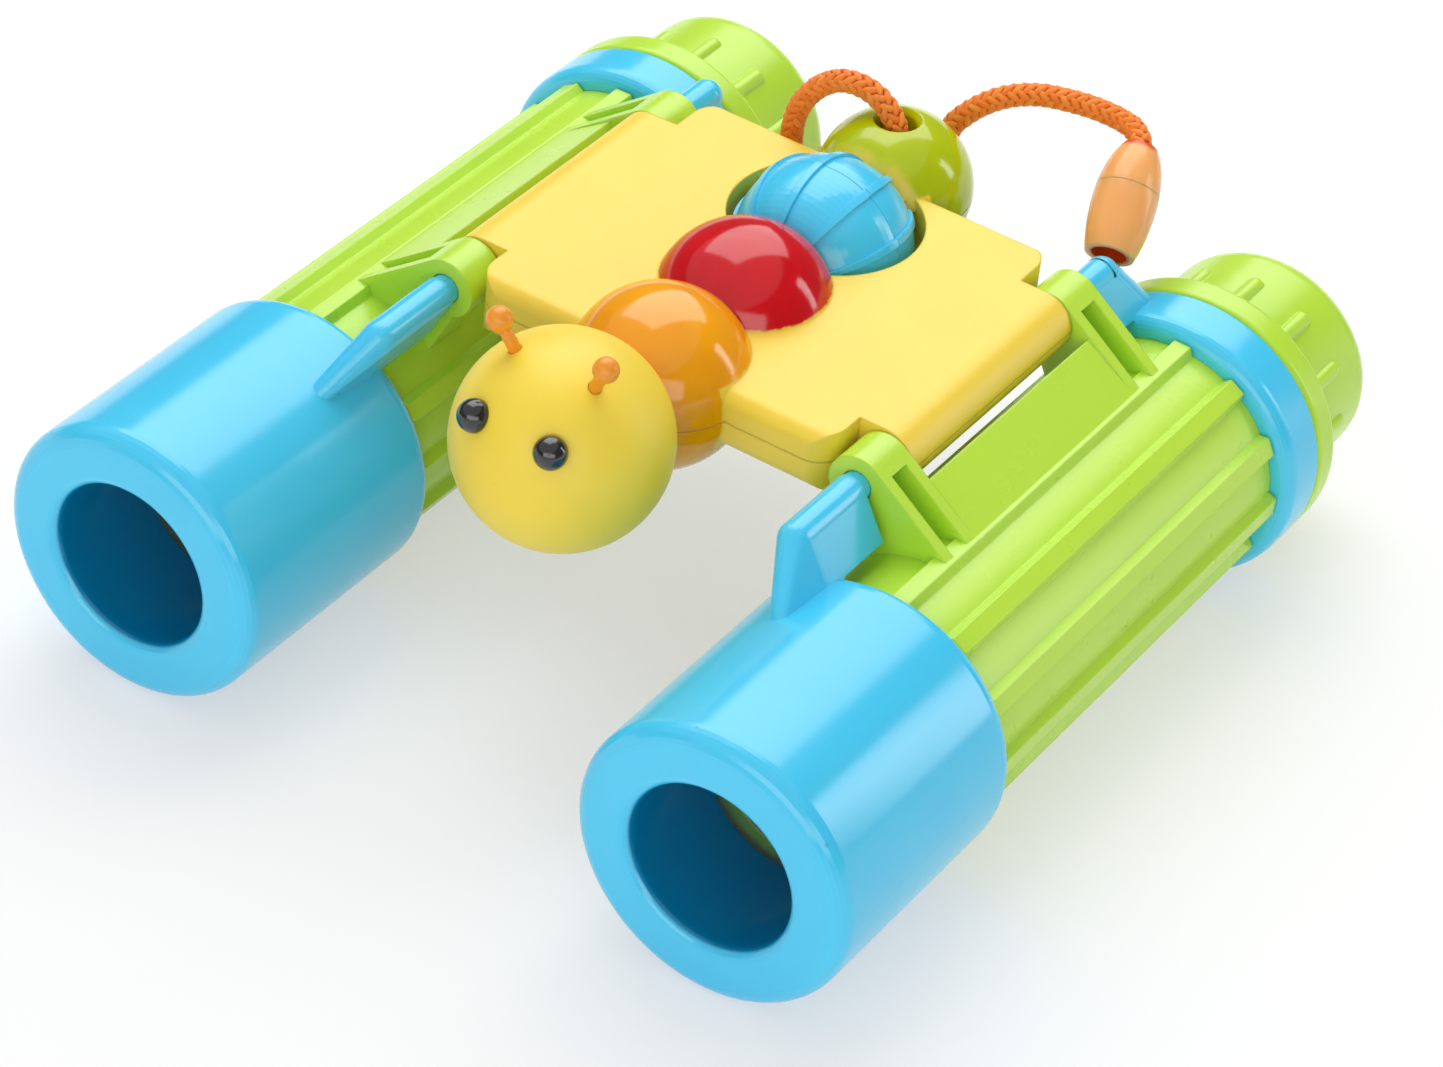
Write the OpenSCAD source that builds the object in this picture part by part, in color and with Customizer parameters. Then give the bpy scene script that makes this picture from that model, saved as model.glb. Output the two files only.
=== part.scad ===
// Toy binoculars: two barrels that fold on a bug-shaped bridge, with a focus wheel and a neck cord.
// Millimetres, +Z up. The barrels lie along Y, hoods at -Y and eyepieces at +Y.
// The origin is on the table under the middle of the object.

/* [Barrels] */
// Distance between the two barrel axes when unfolded
barrel_spacing = 105; // [102:0.5:110]
// Length from the front of the hoods to the rims of the eyepieces
overall_length = 164.2; // [162:0.1:168]
// Outer radius of the hoods, bands and flanges, on which the object stands
hood_r = 23.2; // [22.8:0.1:24]
// How far the hoods, bands and flanges stand out from the tubes
hood_step = 3.6; // [3:0.1:4.2]
// Share of the whole length that a hood takes
hood_share = 0.2771; // [0.27:0.0001:0.285]
// Share of a hood's radius that its viewing bore has
bore_share = 0.5862; // [0.55:0.0001:0.6]
// Share of the whole length that the sleeve round the viewing bore takes
sleeve_share = 0.1279; // [0.11:0.0001:0.14]
// Wall of that sleeve
sleeve_wall = 2.4; // [1.8:0.1:2.6]
// Wall of a barrel tube
tube_wall = 2.3; // [1.8:0.1:2.6]
// Height of the grip ribs on a tube
rib_h = 1.5; // [1.2:0.1:1.8]
// Width of a grip rib at its top
rib_w = 2.9; // [2.4:0.1:3.4]
// Share of the whole length that the blue band behind a tube takes
band_share = 0.0572; // [0.053:0.0001:0.062]
// Share of the whole length that the flange in front of an eyepiece takes
flange_share = 0.0341; // [0.028:0.0001:0.04]
// Share of the whole length that an eyepiece takes behind its flange
cap_share = 0.1279; // [0.116:0.0001:0.136]
// Share of a hood's radius that an eyepiece has between its grips
cap_r_share = 0.7931; // [0.776:0.0001:0.82]
// Wall of an eyepiece
cap_wall = 2.6; // [2:0.1:3]
// Share of a hood's radius that the hole has that the eye looks into
eye_hole_share = 0.4526; // [0.4:0.0001:0.48]
// Radius of the rounded finger grips on an eyepiece
grip_r = 1.5; // [1.2:0.1:1.8]
// Length of a finger grip
grip_length = 9; // [7:0.5:11]
// Thickness of an objective lens at its edge
objective_t = 2; // [1.6:0.1:2.6]
// Thickness of an eyepiece lens at its edge
eye_lens_t = 2.3; // [1.8:0.1:2.8]

/* [Hinges] */
// How far the hinge axes lie inside the barrel axes
hinge_inset = 15; // [14:0.1:15.5]
// Height of the hinge axes above the tops of the hoods
hinge_rise = 4; // [3.4:0.1:5.4]
// Radius of the hinge pins
pin_r = 2.4; // [2.1:0.05:2.6]
// Length of a pin inside the bridge
pin_depth = 7; // [5:0.5:9]
// Radius of the lugs round the pins
knuckle_r = 4.9; // [4.5:0.1:5]
// Length of a lug along its pin
lug_length = 7.9; // [7:0.1:9]
// Wall of the hollow part of a lug
lug_wall = 2; // [1.6:0.1:2.4]
// Thickness of the arms that carry the pins
arm_t = 5.4; // [5:0.1:5.8]
// Thickness of the sloping panel between the two lugs
panel_t = 2; // [1.6:0.1:2.6]

/* [Bridge] */
// Thickness of the bridge plate
bridge_t = 10.4; // [10:0.1:10.8]
// Share of the whole length in front of the bridge plate
plate_front_share = 0.349; // [0.343:0.0001:0.354]
// Share of the whole length up to the rear of the bridge plate
plate_rear_share = 0.7339; // [0.73:0.0001:0.738]
// Gap between the lugs and the plate beside them
plate_gap = 0.4; // [0.4:0.1:1]
// How far inside the hinge axes the round side edges of the plate are centred
edge_inset = 0.7; // [0.5:0.1:1.3]
// Radius of the plate's front edges
edge_round = 2.6; // [1.5:0.1:3.5]
// Radius of the plate's rear edges
rear_edge_round = 1.2; // [0.8:0.1:2.5]
// Radius of the plate's corners seen from above
corner_r = 4.5; // [3:0.1:5.5]
// Wall of the two bridge shells
shell_wall = 2; // [1.6:0.1:2.4]
// Radius of the screw shanks
screw_r = 1.25; // [1:0.05:1.4]

/* [Bug body] */
// Radius of the head
head_r = 16.8; // [16.4:0.1:17.2]
// Wall of the hollow head
head_wall = 2.6; // [2:0.1:3]
// How far the ball of the head overlaps the front ball
head_overlap = 5.8; // [5.2:0.1:6.4]
// Height of the middle of the head above the hinge axes
head_rise = 2.7; // [2.2:0.1:3.6]
// Radius of the front and middle body balls
ball_r = 14.4; // [14:0.1:14.8]
// Share of the whole length in front of the middle of the front ball
front_ball_share = 0.3697; // [0.3667:0.0001:0.3727]
// Share of the whole length in front of the middle of the middle ball
middle_ball_share = 0.5055; // [0.5:0.0001:0.509]
// Radius of the tail ball
tail_r = 12.8; // [12.4:0.1:13]
// X of the middle of the tail ball
tail_x = -0.6; // [-1:0.1:0]
// Share of the whole length in front of the middle of the tail ball
tail_share = 0.7722; // [0.77:0.0001:0.7745]
// X of the cord's hole through the tail
cord_hole_x = -1.4; // [-1.6:0.1:-1.2]
// Radius of the cord's hole through the tail
cord_hole_r = 3.3; // [3:0.1:3.6]
// Radius of the bead eyes
eye_r = 2.6; // [2:0.1:3]
// Length of an antenna's stalk outside the head
stalk_length = 5.5; // [4:0.5:7]
// Radius of the knob on an antenna
knob_r = 2; // [1.6:0.1:2.4]

/* [Focus wheel] */
// Radius of the wheel between its ribs
wheel_r = 14.3; // [13.8:0.1:14.6]
// Share of the whole length in front of the middle of the wheel
wheel_share = 0.6419; // [0.6395:0.0001:0.6443]
// Share of the wheel's radius that half of its width has
wheel_width_share = 0.7972; // [0.76:0.0001:0.8]
// Wall of the hollow wheel
wheel_wall = 2; // [1.6:0.1:2.4]
// Height of the ribs on the wheel
wheel_rib_h = 0.5; // [0.3:0.1:0.7]
// Number of ribs on the wheel
wheel_ribs = 10; // [8:1:14]
// Gap between the wheel's ribs and the opening round them
opening_gap = 0.8; // [0.7:0.1:1.2]
// Radius of the wheel's axle
axle_r = 2; // [1.6:0.1:2.4]

/* [Neck cord] */
// Diameter of the cord
cord_d = 3.9; // [3.5:0.1:4]
// Largest radius of the breakaway bead
bead_r = 5.2; // [4.8:0.1:5.4]
// Radius of the bead's open mouth
mouth_r = 2.9; // [2.6:0.1:3.1]
// Length of the straight part of the tied hank
hank_run = 44; // [42:1:46]
// Thickness of the band that ties the hank
tie_t = 0.7; // [0.5:0.1:0.9]

/* [Hidden] */
$fn = 64;

// Clearances and overruns
overrun = 1;
quarter_turn = 90;
half_turn = 180;
full_turn = 360;
running_fit = 0.05;
seat_fit = 0.05;
side_gap = 0.3;
seam_gap = 0.1;
mirror_x = [1, 0, 0];

// Stations along a barrel
barrel_x = barrel_spacing / 2;
barrel_z = hood_r;
length_offset = 0.9;
front_y = length_offset - overall_length / 2;
rear_y = length_offset + overall_length / 2;
hood_rear_y = front_y + overall_length * hood_share;
sleeve_end_y = front_y + overall_length * sleeve_share;
cap_front_y = rear_y - overall_length * cap_share;
flange_front_y = cap_front_y - overall_length * flange_share;
band_front_y = flange_front_y - overall_length * band_share;
tube_r = hood_r - hood_step;
hood_bore_r = hood_r * bore_share;
cap_r = hood_r * cap_r_share;
eye_hole_r = hood_r * eye_hole_share;
socket_r = tube_r + seat_fit;
bore_r = tube_r - tube_wall;

// Hood roundings
hood_front_round = 3;
hood_rear_round = 3;
hood_lip_round = 2;
hood_face_t = 3.2;
pocket_y = front_y + hood_face_t;
sleeve_outer_r = hood_bore_r + sleeve_wall;

// Objective lens, its recess in the tube and the lip behind it
objective_overlap = 0.5;
objective_r = sleeve_outer_r + objective_overlap;
objective_sag = 1.2;
objective_margin = 1.3;
objective_clear_r = hood_bore_r - objective_margin;
lens_front_y = sleeve_end_y + seat_fit;
lens_back_y = lens_front_y + objective_t;
sleeve_overlap = 1.5;
tube_front_y = sleeve_end_y - sleeve_overlap;
recess_r = objective_r + seat_fit;
lip_gap = 0.2;
lip_r = objective_clear_r + lip_gap;
lip_t = 2;

// Eyepiece seats and roundings
tube_seat = 2.1;
tube_rear_y = flange_front_y + tube_seat;
shoulder_y = tube_rear_y + seat_fit;
flange_round = 1.2;
band_round = 2.5;
band_rear_round = 0.6;
cap_round = 4;
eye_lip_round = 1.5;
end_wall = 2.7;
eye_lens_inset = 5;
eye_lens_r = cap_r - eye_lens_inset;
eye_lens_sag = 1;
eye_clear_inset = 0.3;
eye_lens_clear_r = eye_hole_r - eye_clear_inset;
eye_lens_back_y = rear_y - end_wall - seat_fit;
pocket_front_y = eye_lens_back_y - eye_lens_t - seat_fit;
grip_count = 12;
grip_sink = 0.6;
grip_front_gap = 2.5;

// Grip ribs on a tube, at equal steps from a place near the top, none under the lugs
rib_step = 30;
rib_start = 2;
rib_places = 11;
rib_slope = 0.9;
lug_foot_h = 0.9;
rib_root = 0.6;
rib_front_y = hood_rear_y + side_gap;
rib_rear_y = band_front_y - side_gap;

// Hinge axis, arms and lugs
hinge_x = barrel_x - hinge_inset;
hinge_z = 2 * hood_r + hinge_rise;
hinge = [hinge_x, hinge_z];
arm_tilt = atan2(hinge_z - barrel_z, barrel_x - hinge_x);
arm_reach = norm([hinge_z - barrel_z, barrel_x - hinge_x]);
arm_r = arm_t / 2;
arm_gap = 1.6;
arm_flat_less = 0.12;
arm_flat_t = arm_t - arm_flat_less;
arm_corner_more = 0.04;
arm_corner_r = arm_r + arm_corner_more;
arm_sink = 2.6;
arm_root = arm_reach - hood_r + arm_sink;
arm_clear = 1.3;
arm_low = arm_reach - tube_r - rib_h - arm_clear;
bridge_front = front_y + overall_length * plate_front_share;
bridge_rear = front_y + overall_length * plate_rear_share;
front_lug_y = bridge_front;
lug_set_back = 1.2;
rear_lug_y = bridge_rear - lug_length - lug_set_back;
front_arm_rear_y = front_lug_y - arm_gap;
front_arm_reach = 4.5;
front_arm_front_y = hood_rear_y - front_arm_reach;
prow_length = 9.4;
prow_r = 1.6;
rear_arm_front_y = rear_lug_y + lug_length + arm_gap;
rear_rod_gap = 0.4;
rear_rod_y = band_front_y - rear_rod_gap;
rear_arm_slope = 7;
lug_hole_gap = 0.1;
lug_hole_r = pin_r + lug_hole_gap;
pin_bore_r = pin_r + running_fit;
lug_top_angle = 6.5;
lug_low_angle = -42;
lug_inner = 3.5;
panel_gap = 2.6;
panel_tip_x = hinge_x + knuckle_r + panel_gap;
panel_base_angle = 7;

// Bridge plate
notch_front_y = front_lug_y + lug_length + side_gap;
notch_rear_y = rear_lug_y - side_gap;
plate_bottom_z = hinge_z - bridge_t / 2;
plate_top_z = hinge_z + bridge_t / 2;
bridge_half_w = hinge_x - knuckle_r - plate_gap;
edge_x = hinge_x - edge_inset;
cavity_half_w = bridge_half_w - shell_wall;
rim_t = 1.8;
boss_r = 3.2;
nub_r = 3.4;
nub_h = 0.8;
nub_inset = 4;
nub_x = hinge_x - nub_inset;
nub_share = 0.568;
nub_y = bridge_front + (bridge_rear - bridge_front) * nub_share;
screw_inset = 8.2;
screw_x = bridge_half_w - screw_inset;
front_screw_inset = 5.6;
front_screw_y = bridge_front + front_screw_inset;
rear_screw_inset = 5.4;
rear_screw_y = bridge_rear - rear_screw_inset;
screw_head_r = 2.5;
screw_head_h = 1.5;
screw_sink = 0.5;
screw_hole_gap = 0.25;
screw_hole_r = screw_r + screw_hole_gap;
pilot_r = screw_r + seat_fit;
screw_end_gap = 0.4;
screw_top_z = plate_top_z - shell_wall - screw_end_gap;
bulkhead_t = 3.6;
bulkhead_w = 14;
axle_end_gap = 0.1;
wheel_gap = 0.5;
sleeve_t = 1.4;
mouth_flare = 0.8;

// Middles of the head and of the body balls
front_ball_y = front_y + overall_length * front_ball_share;
head_y = front_ball_y - ball_r - head_r + head_overlap;
head_z = hinge_z + head_rise;
middle_ball_y = front_y + overall_length * middle_ball_share;
tail_y = front_y + overall_length * tail_share;

// Neck of the head
neck_r = 5;
neck_length = 7;
neck_boss_wall = 2.4;
neck_boss_r = neck_r + neck_boss_wall;
front_ball_front_y = front_ball_y - ball_r;
neck_turn = -quarter_turn - atan2(head_z - hinge_z, front_ball_y - head_y);

// Places on the head, as turns about its middle
eye_turn_angle = 27;
eye_lift_angle = 30;
eye_stem_r = 0.9;
antenna_turn_angle = 64;
antenna_lift_angle = 62;
stalk_r = 1;
stem_depth = 2.2;
eye_proud = 0.4;

// Wheel
hub_wall = 2.2;
hub_r = axle_r + hub_wall;
wheel_bore_r = axle_r + running_fit;
wheel_rib_angle = 5.2;
wheel_start_angle = -101;
wheel_end_wall = 1.8;
wheel_steps = 12;
wheel_y = front_y + overall_length * wheel_share;
wheel_half_w = wheel_r * wheel_width_share;
opening_r = wheel_r + wheel_rib_h + opening_gap;
wheel_front_y = wheel_y - wheel_half_w;
wheel_rear_y = wheel_y + wheel_half_w;
axle_front_y = wheel_front_y - wheel_gap - bulkhead_t + axle_end_gap;
axle_rear_y = wheel_rear_y + wheel_gap + bulkhead_t - axle_end_gap;

// The cord goes through the tail. Strand A leaves at the top, strand B below. Their points were
// chosen for one place of the tail's hole, of the hinge axes and of the table, and follow these.
cord_r = cord_d / 2;
strand_sides = 8;
strand_steps = 2;
route_hole = [-1.4, 45.6];
route_hinge = [37.5, 50.4];
route_floor = 2.1;
floor_gap = 0.15;
strand_a_points = [[-1.4, 45.6, 50.4], [-1.4, 45.6, 53], [-1.4, 45.6, 55.6], [-0.9, 45.5, 59.4],
    [-1.9, 45.3, 62.6],
    [-4.4, 45.2, 64.9], [-7.4, 45.2, 65.9], [-11.4, 45.2, 65.5], [-14.7, 45.2, 63.5], [-17.1, 45.2, 60.9],
    [-18.9, 45.2, 57.6], [-19.8, 45.2, 53.8], [-19.8, 45.2, 50], [-18.8, 45, 45], [-16.6, 44.8, 40.4],
    [-13.4, 44.8, 36], [-10.4, 45, 31], [-8.2, 45.8, 25], [-6.8, 47, 18], [-5.6, 49.4, 11],
    [-4.2, 53.6, 5.4], [-2.6, 59.4, 2.6], [-1, 66, 2.1], [-0.4, 73, 2.1], [-1.4, 79.6, 2.1],
    [-5.2, 84.4, 2.1], [-11, 86.3, 2.1], [-18, 86.4, 2.1], [-28, 86.4, 2.1]];
strand_b_points = [[-1.4, 45.6, 50.4], [-1.4, 45.6, 44], [-1.4, 45.6, 38], [-1.4, 46.4, 34], [-1.4, 49, 30.8],
    [-1.4, 53, 29.2], [-1.4, 57.4, 30], [-1.4, 60.8, 33.4], [-1.6, 62.6, 39], [-1.8, 63.2, 46],
    [-1.3, 63.6, 51.6], [0.8, 64.6, 55], [3.6, 65.6, 57.8], [6.6, 66.6, 59.8], [9.6, 67.6, 61],
    [12.6, 68.6, 61.6], [15.8, 69.4, 61.8], [19, 70.2, 61.8], [22.4, 70.8, 61.6], [25.8, 71, 61.2],
    [28.5, 70.2, 60.9], [30.75, 67.7, 60.25], [31.25, 66.1, 59.15], [31.75, 64.5, 58.05]];
floor_z = cord_r + floor_gap;
function route_z(z) = z > route_hinge[1] ? hinge_z + z - route_hinge[1]
    : floor_z + (z - route_floor) * (hinge_z - floor_z) / (route_hinge[1] - route_floor);
function placed(p) = [cord_hole_x + (p[0] - route_hole[0]) * hinge_x / route_hinge[0],
    tail_y + p[1] - route_hole[1], route_z(p[2])];
strand_a = [for (p = strand_a_points) placed(p)];
strand_b = [for (p = strand_b_points) placed(p)];

// Breakaway bead on strand B, from its open mouth to its cord end
bead_mouth = placed([35.5, 52.5, 49.8]);
bead_top = placed([30.75, 67.7, 60.25]);
bead_axis = bead_top - bead_mouth;
bead_length = norm(bead_axis);
bead_wide_share = 0.48;
bead_rim_wall = 1.1;
bead_rim_r = mouth_r + bead_rim_wall;
bead_end_wall = 0.8;
bead_end_r = cord_r + bead_end_wall;
bead_seam_share = 0.58;
bead_steps = 10;
bead_seam_gap = 0.1;
bead_web_t = 1.2;
cord_seat_depth = norm(bead_top - strand_b[len(strand_b) - 1]);

// Tied hank of the spare cord behind the object
hank_x = strand_a[len(strand_a) - 1][0] - cord_d - hank_run / 2;
hank_fold_share = 3;
hank_fold_r = hank_fold_share * cord_d;
hank_y = strand_a[len(strand_a) - 1][1] + hank_fold_r;
hank_z = strand_a[len(strand_a) - 1][2];
hank_layer_gap = 0.7;
hank_layer = cord_d + hank_layer_gap;
hank_waist_gap = 0.45;
hank_draw = hank_fold_r - cord_r - hank_waist_gap;
hank_tie_gap = 0.1;
hank_waist_lift = tie_t + hank_tie_gap;
hank_end_lift = 2.2;
hank_turns = 1.2;
hank_rings = 40;
hank_ease_share = 0.44;
hank_sides = 6;
hank_phases = 4;
hank_lift_start_share = 0.55;
hank_lift_end_share = 0.75;
gap_samples = 160;
gap_skip = 16;
tie_w = 3.5;
tie_gap = 0.2;

// Plug half of the clasp at the end of the hank
plug_collar_gap = 0.1;
plug_collar_r = bead_rim_r - plug_collar_gap;
plug_collar_l = 5.5;
plug_stem_gap = 0.6;
plug_stem_r = mouth_r - plug_stem_gap;
plug_stem_l = 4;
plug_bulb_gap = 0.2;
plug_bulb_r = mouth_r - plug_bulb_gap;
plug_round = 1.4;

// Points of an arc in a profile
function arc(c, r, a0, a1, n = 6) =
    [for (i = [0:n]) c + r * [cos(a0 + (a1 - a0) * i / n), sin(a0 + (a1 - a0) * i / n)]];

// A point on a circle round the barrel axis, by its angle from the top
function round_barrel(a, r) = [barrel_x + r * sin(a), barrel_z + r * cos(a)];

// Where a line from point p touches a circle, on the side that turn gives
function touch(c, r, p, turn) =
    let (d = p - c, a = atan2(d[1], d[0]) + turn * acos(r / norm(d)))
    c + r * [cos(a), sin(a)];

// Directions and rings for tubes
ring_side = [1, 0, 0.3];
function unit(v) = v / norm(v);
function heading(p, i) = unit(p[min(i + 1, len(p) - 1)] - p[max(i - 1, 0)]);
function square_to(n, t) = unit(n - (n * t) * t);
function carried(p, n, i = 0) =
    i >= len(p) ? [] : let (m = square_to(n, heading(p, i))) concat([m], carried(p, m, i + 1));
function between(a, b, c, d, u) =
    0.5 * (2 * b + (c - a) * u + (2 * a - 5 * b + 4 * c - d) * u * u
        + (3 * b - a - 3 * c + d) * u * u * u);
function smooth_route(p, steps) =
    concat([for (i = [0:len(p) - 2]) for (k = [0:steps - 1])
        between(p[max(i - 1, 0)], p[i], p[i + 1], p[min(i + 2, len(p) - 1)], k / steps)],
        [p[len(p) - 1]]);

// A point on the hank: near run, left fold, far run, right fold, and so on upwards
function eased(u) = (1 - cos(half_turn * u)) / 2;
function dip(u) = eased(min(1, min(u, 1 - u) / hank_ease_share));
function hank_rise(u) = eased(max(0, min(1,
    (u - hank_lift_start_share) / (hank_lift_end_share - hank_lift_start_share))));
function hank_point(t) =
    let (turn = floor(t / hank_phases), p = t - hank_phases * turn, u = p - floor(p),
        last = turn >= floor(hank_turns) ? hank_end_lift * hank_rise(u) : 0,
        low = hank_z + hank_layer * turn,
        aside = hank_fold_r - hank_draw * dip(u), a = half_turn * u)
    p < 1 ? [hank_x + hank_run / 2 - hank_run * u, hank_y - aside,
            low + hank_waist_lift * dip(u) + last]
    : p < 2 ? [hank_x - hank_run / 2 - hank_fold_r * sin(a), hank_y - hank_fold_r * cos(a), low]
    : p < 3 ? [hank_x - hank_run / 2 + hank_run * u, hank_y + aside,
            low + hank_layer * eased(u) + hank_waist_lift * dip(u)]
    : [hank_x + hank_run / 2 + hank_fold_r * sin(a), hank_y + hank_fold_r * cos(a), low + hank_layer];
function hank_route(n) = [for (i = [0:n]) hank_point(hank_phases * hank_turns * i / n)];
hank_rings_all = hank_route(ceil(hank_turns * hank_rings));
hank_way = heading(hank_rings_all, len(hank_rings_all) - 1);
hank_end = hank_rings_all[len(hank_rings_all) - 1] + cord_d * hank_way;
hank_line = concat([strand_a[len(strand_a) - 1]], hank_rings_all, [hank_end]);
gap_line = hank_route(gap_samples);
hank_gap = min([for (i = [0:gap_samples - gap_skip]) for (j = [i + gap_skip:gap_samples])
    norm(gap_line[i] - gap_line[j])]) - cord_d;
echo(hank_least_gap = hank_gap);

// A radius on the bead's outside, as a share of its length from the mouth
function bead_radius(u) =
    let (w = bead_wide_share,
        low = w / sqrt(1 - pow(bead_rim_r / bead_r, 2)),
        high = (1 - w) / sqrt(1 - pow(bead_end_r / bead_r, 2)))
    bead_r * sqrt(1 - pow((u - w) / (u < w ? low : high), 2));

// Turns a profile of radius and Y about the Y axis
module turned() {
    rotate([-90, 0, 0]) rotate_extrude() children();
}

// A rod along Y
module rod_y(r, y0, y1) {
    translate([0, y0, 0]) rotate([-90, 0, 0]) cylinder(r = r, h = y1 - y0);
}

// Extrudes a shape of X and Z along Y
module along_y(y0, y1) {
    translate([0, y1, 0]) rotate([90, 0, 0]) linear_extrude(y1 - y0) children();
}

module at_barrel() {
    translate([barrel_x, 0, barrel_z]) children();
}

// X towards the barrel, Z square to the arm
module at_arm() {
    translate([hinge_x, 0, hinge_z]) rotate([0, arm_tilt, 0]) children();
}

module tube_of(p, r, sides) {
    n = carried(p, square_to(ring_side, heading(p, 0)));
    ends = len(p) - 1;
    rings = [for (i = [0:ends]) let (m = n[i], b = cross(heading(p, i), m)) for (j = [0:sides - 1])
        p[i] + r * (m * cos(full_turn * j / sides) + b * sin(full_turn * j / sides))];
    walls = [for (i = [0:ends - 1]) for (j = [0:sides - 1])
        let (k = (j + 1) % sides, a = i * sides, c = a + sides)
        each [[a + j, c + j, c + k], [a + j, c + k, a + k]]];
    near_cap = [for (j = [1:sides - 2]) [0, j, j + 1]];
    far_cap = [for (j = [1:sides - 2]) [ends * sides, ends * sides + j + 1, ends * sides + j]];
    polyhedron(rings, concat(walls, near_cap, far_cap), convexity = 8);
}

// Barrel pieces, drawn for the right side
module tube_ribs() {
    for (i = [0:rib_places - 1])
        rotate([0, rib_start + rib_step * i, 0])
            along_y(rib_front_y, rib_rear_y)
                polygon([[-rib_w / 2 - rib_slope, tube_r - rib_root],
                    [rib_w / 2 + rib_slope, tube_r - rib_root],
                    [rib_w / 2, tube_r + rib_h], [-rib_w / 2, tube_r + rib_h]]);
}

module lug_outline() {
    top = round_barrel(lug_top_angle, tube_r + lug_foot_h);
    low = round_barrel(lug_low_angle, tube_r - tube_wall / 2);
    translate(hinge) circle(r = knuckle_r);
    polygon([touch(hinge, knuckle_r, top, 1), top, round_barrel(lug_top_angle, bore_r),
        round_barrel(lug_low_angle, bore_r), low, touch(hinge, lug_inner, low, -1)]);
}

module lug_pocket() {
    top = round_barrel(lug_top_angle, tube_r + lug_foot_h);
    low = round_barrel(lug_low_angle, tube_r);
    start = touch(hinge, knuckle_r, top, 1);
    along = unit(top - start);
    up = [-along[1], along[0]];
    mouth = start + along * lug_wall;
    polygon([mouth + up * overrun, top + up * overrun, top - along * lug_wall / 2,
        round_barrel((lug_top_angle + lug_low_angle) / 2, tube_r + lug_foot_h / 2),
        mouth - up * lug_wall * 2]);
}

module lug(y0) {
    difference() {
        along_y(y0, y0 + lug_length) lug_outline();
        along_y(y0 + lug_wall, y0 + lug_length - lug_wall) lug_pocket();
        translate([hinge_x, 0, hinge_z]) rod_y(lug_hole_r, y0 - overrun, y0 + lug_length + overrun);
    }
}

module panel() {
    base = round_barrel(panel_base_angle, tube_r + lug_foot_h);
    tip = [panel_tip_x, hinge_z];
    along = unit(tip - base);
    down = [along[1], -along[0]] * panel_t;
    side = down[1] < 0 ? down : -down;
    along_y(front_lug_y + lug_length - overrun, rear_lug_y + overrun)
        polygon([base, tip, tip + side, round_barrel(panel_base_angle - rib_step, tube_r - tube_wall / 2),
            round_barrel(panel_base_angle, tube_r - tube_wall / 2)]);
}

module tube() {
    color("yellowgreen") difference() {
        union() {
            at_barrel() {
                turned() polygon([[bore_r, tube_rear_y], [tube_r, tube_rear_y], [tube_r, tube_front_y],
                    [recess_r, tube_front_y], [recess_r, lens_back_y], [lip_r, lens_back_y],
                    [lip_r, lens_back_y + lip_t], [bore_r, lens_back_y + lip_t]]);
                tube_ribs();
            }
            lug(front_lug_y);
            lug(rear_lug_y);
            panel();
        }
        at_barrel() rod_y(bore_r, lens_back_y + lip_t, tube_rear_y + overrun);
    }
}

module hood() {
    color("deepskyblue") union() {
        at_barrel() turned() polygon(concat(
            [[socket_r, hood_rear_y]],
            arc([hood_r - hood_rear_round, hood_rear_y - hood_rear_round], hood_rear_round, 90, 0),
            arc([hood_r - hood_front_round, front_y + hood_front_round], hood_front_round, 0, -90),
            arc([hood_bore_r + hood_lip_round, front_y + hood_lip_round], hood_lip_round, -90, -half_turn),
            [[hood_bore_r, sleeve_end_y], [sleeve_outer_r, sleeve_end_y],
                [sleeve_outer_r, pocket_y], [socket_r, pocket_y]]));
        at_arm() {
            rod_y(arm_r, front_arm_front_y, front_arm_rear_y);
            rod_y(pin_r, front_arm_rear_y, notch_front_y + pin_depth);
            translate([0, 0, -arm_flat_t / 2]) linear_extrude(arm_flat_t)
                polygon([[0, front_arm_front_y], [0, front_arm_rear_y], [arm_low, front_arm_rear_y],
                    [arm_low, hood_rear_y], [arm_root, hood_rear_y - hood_rear_round],
                    [arm_root, front_arm_front_y]]);
            hull() {
                translate([0, front_arm_front_y, 0]) sphere(r = arm_r, $fn = 32);
                translate([arm_root, front_arm_front_y, 0]) rotate([0, -90, 0])
                    cylinder(r = arm_r, h = arm_root, $fn = 32);
                translate([arm_root, front_arm_front_y - prow_length, 0]) rotate([0, -90, 0])
                    cylinder(r = prow_r, h = prow_r, $fn = 32);
            }
        }
    }
}

module band() {
    slope_turn = atan2(rear_arm_slope, arm_root);
    color("deepskyblue") union() {
        at_barrel() turned() polygon(concat(
            [[socket_r, band_front_y]],
            arc([hood_r - band_round, band_front_y + band_round], band_round, -90, 0),
            arc([hood_r - band_rear_round, flange_front_y - seat_fit - band_rear_round],
                band_rear_round, 0, 90),
            [[socket_r, flange_front_y - seat_fit]]));
        at_arm() {
            rod_y(arm_r, rear_arm_front_y, rear_rod_y);
            rod_y(pin_r, notch_rear_y - pin_depth, rear_arm_front_y);
            translate([0, rear_rod_y, 0]) sphere(r = arm_corner_r);
            translate([0, rear_rod_y, 0]) rotate([0, 0, slope_turn]) rotate([0, 90, 0])
                cylinder(r = arm_r, h = norm([rear_arm_slope, arm_root]));
            translate([0, 0, -arm_flat_t / 2]) linear_extrude(arm_flat_t)
                polygon([[0, rear_rod_y], [arm_root, rear_rod_y + rear_arm_slope],
                    [arm_root, band_front_y + band_round], [arm_low, band_front_y],
                    [arm_low, rear_arm_front_y], [0, rear_arm_front_y]]);
        }
    }
}

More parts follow.
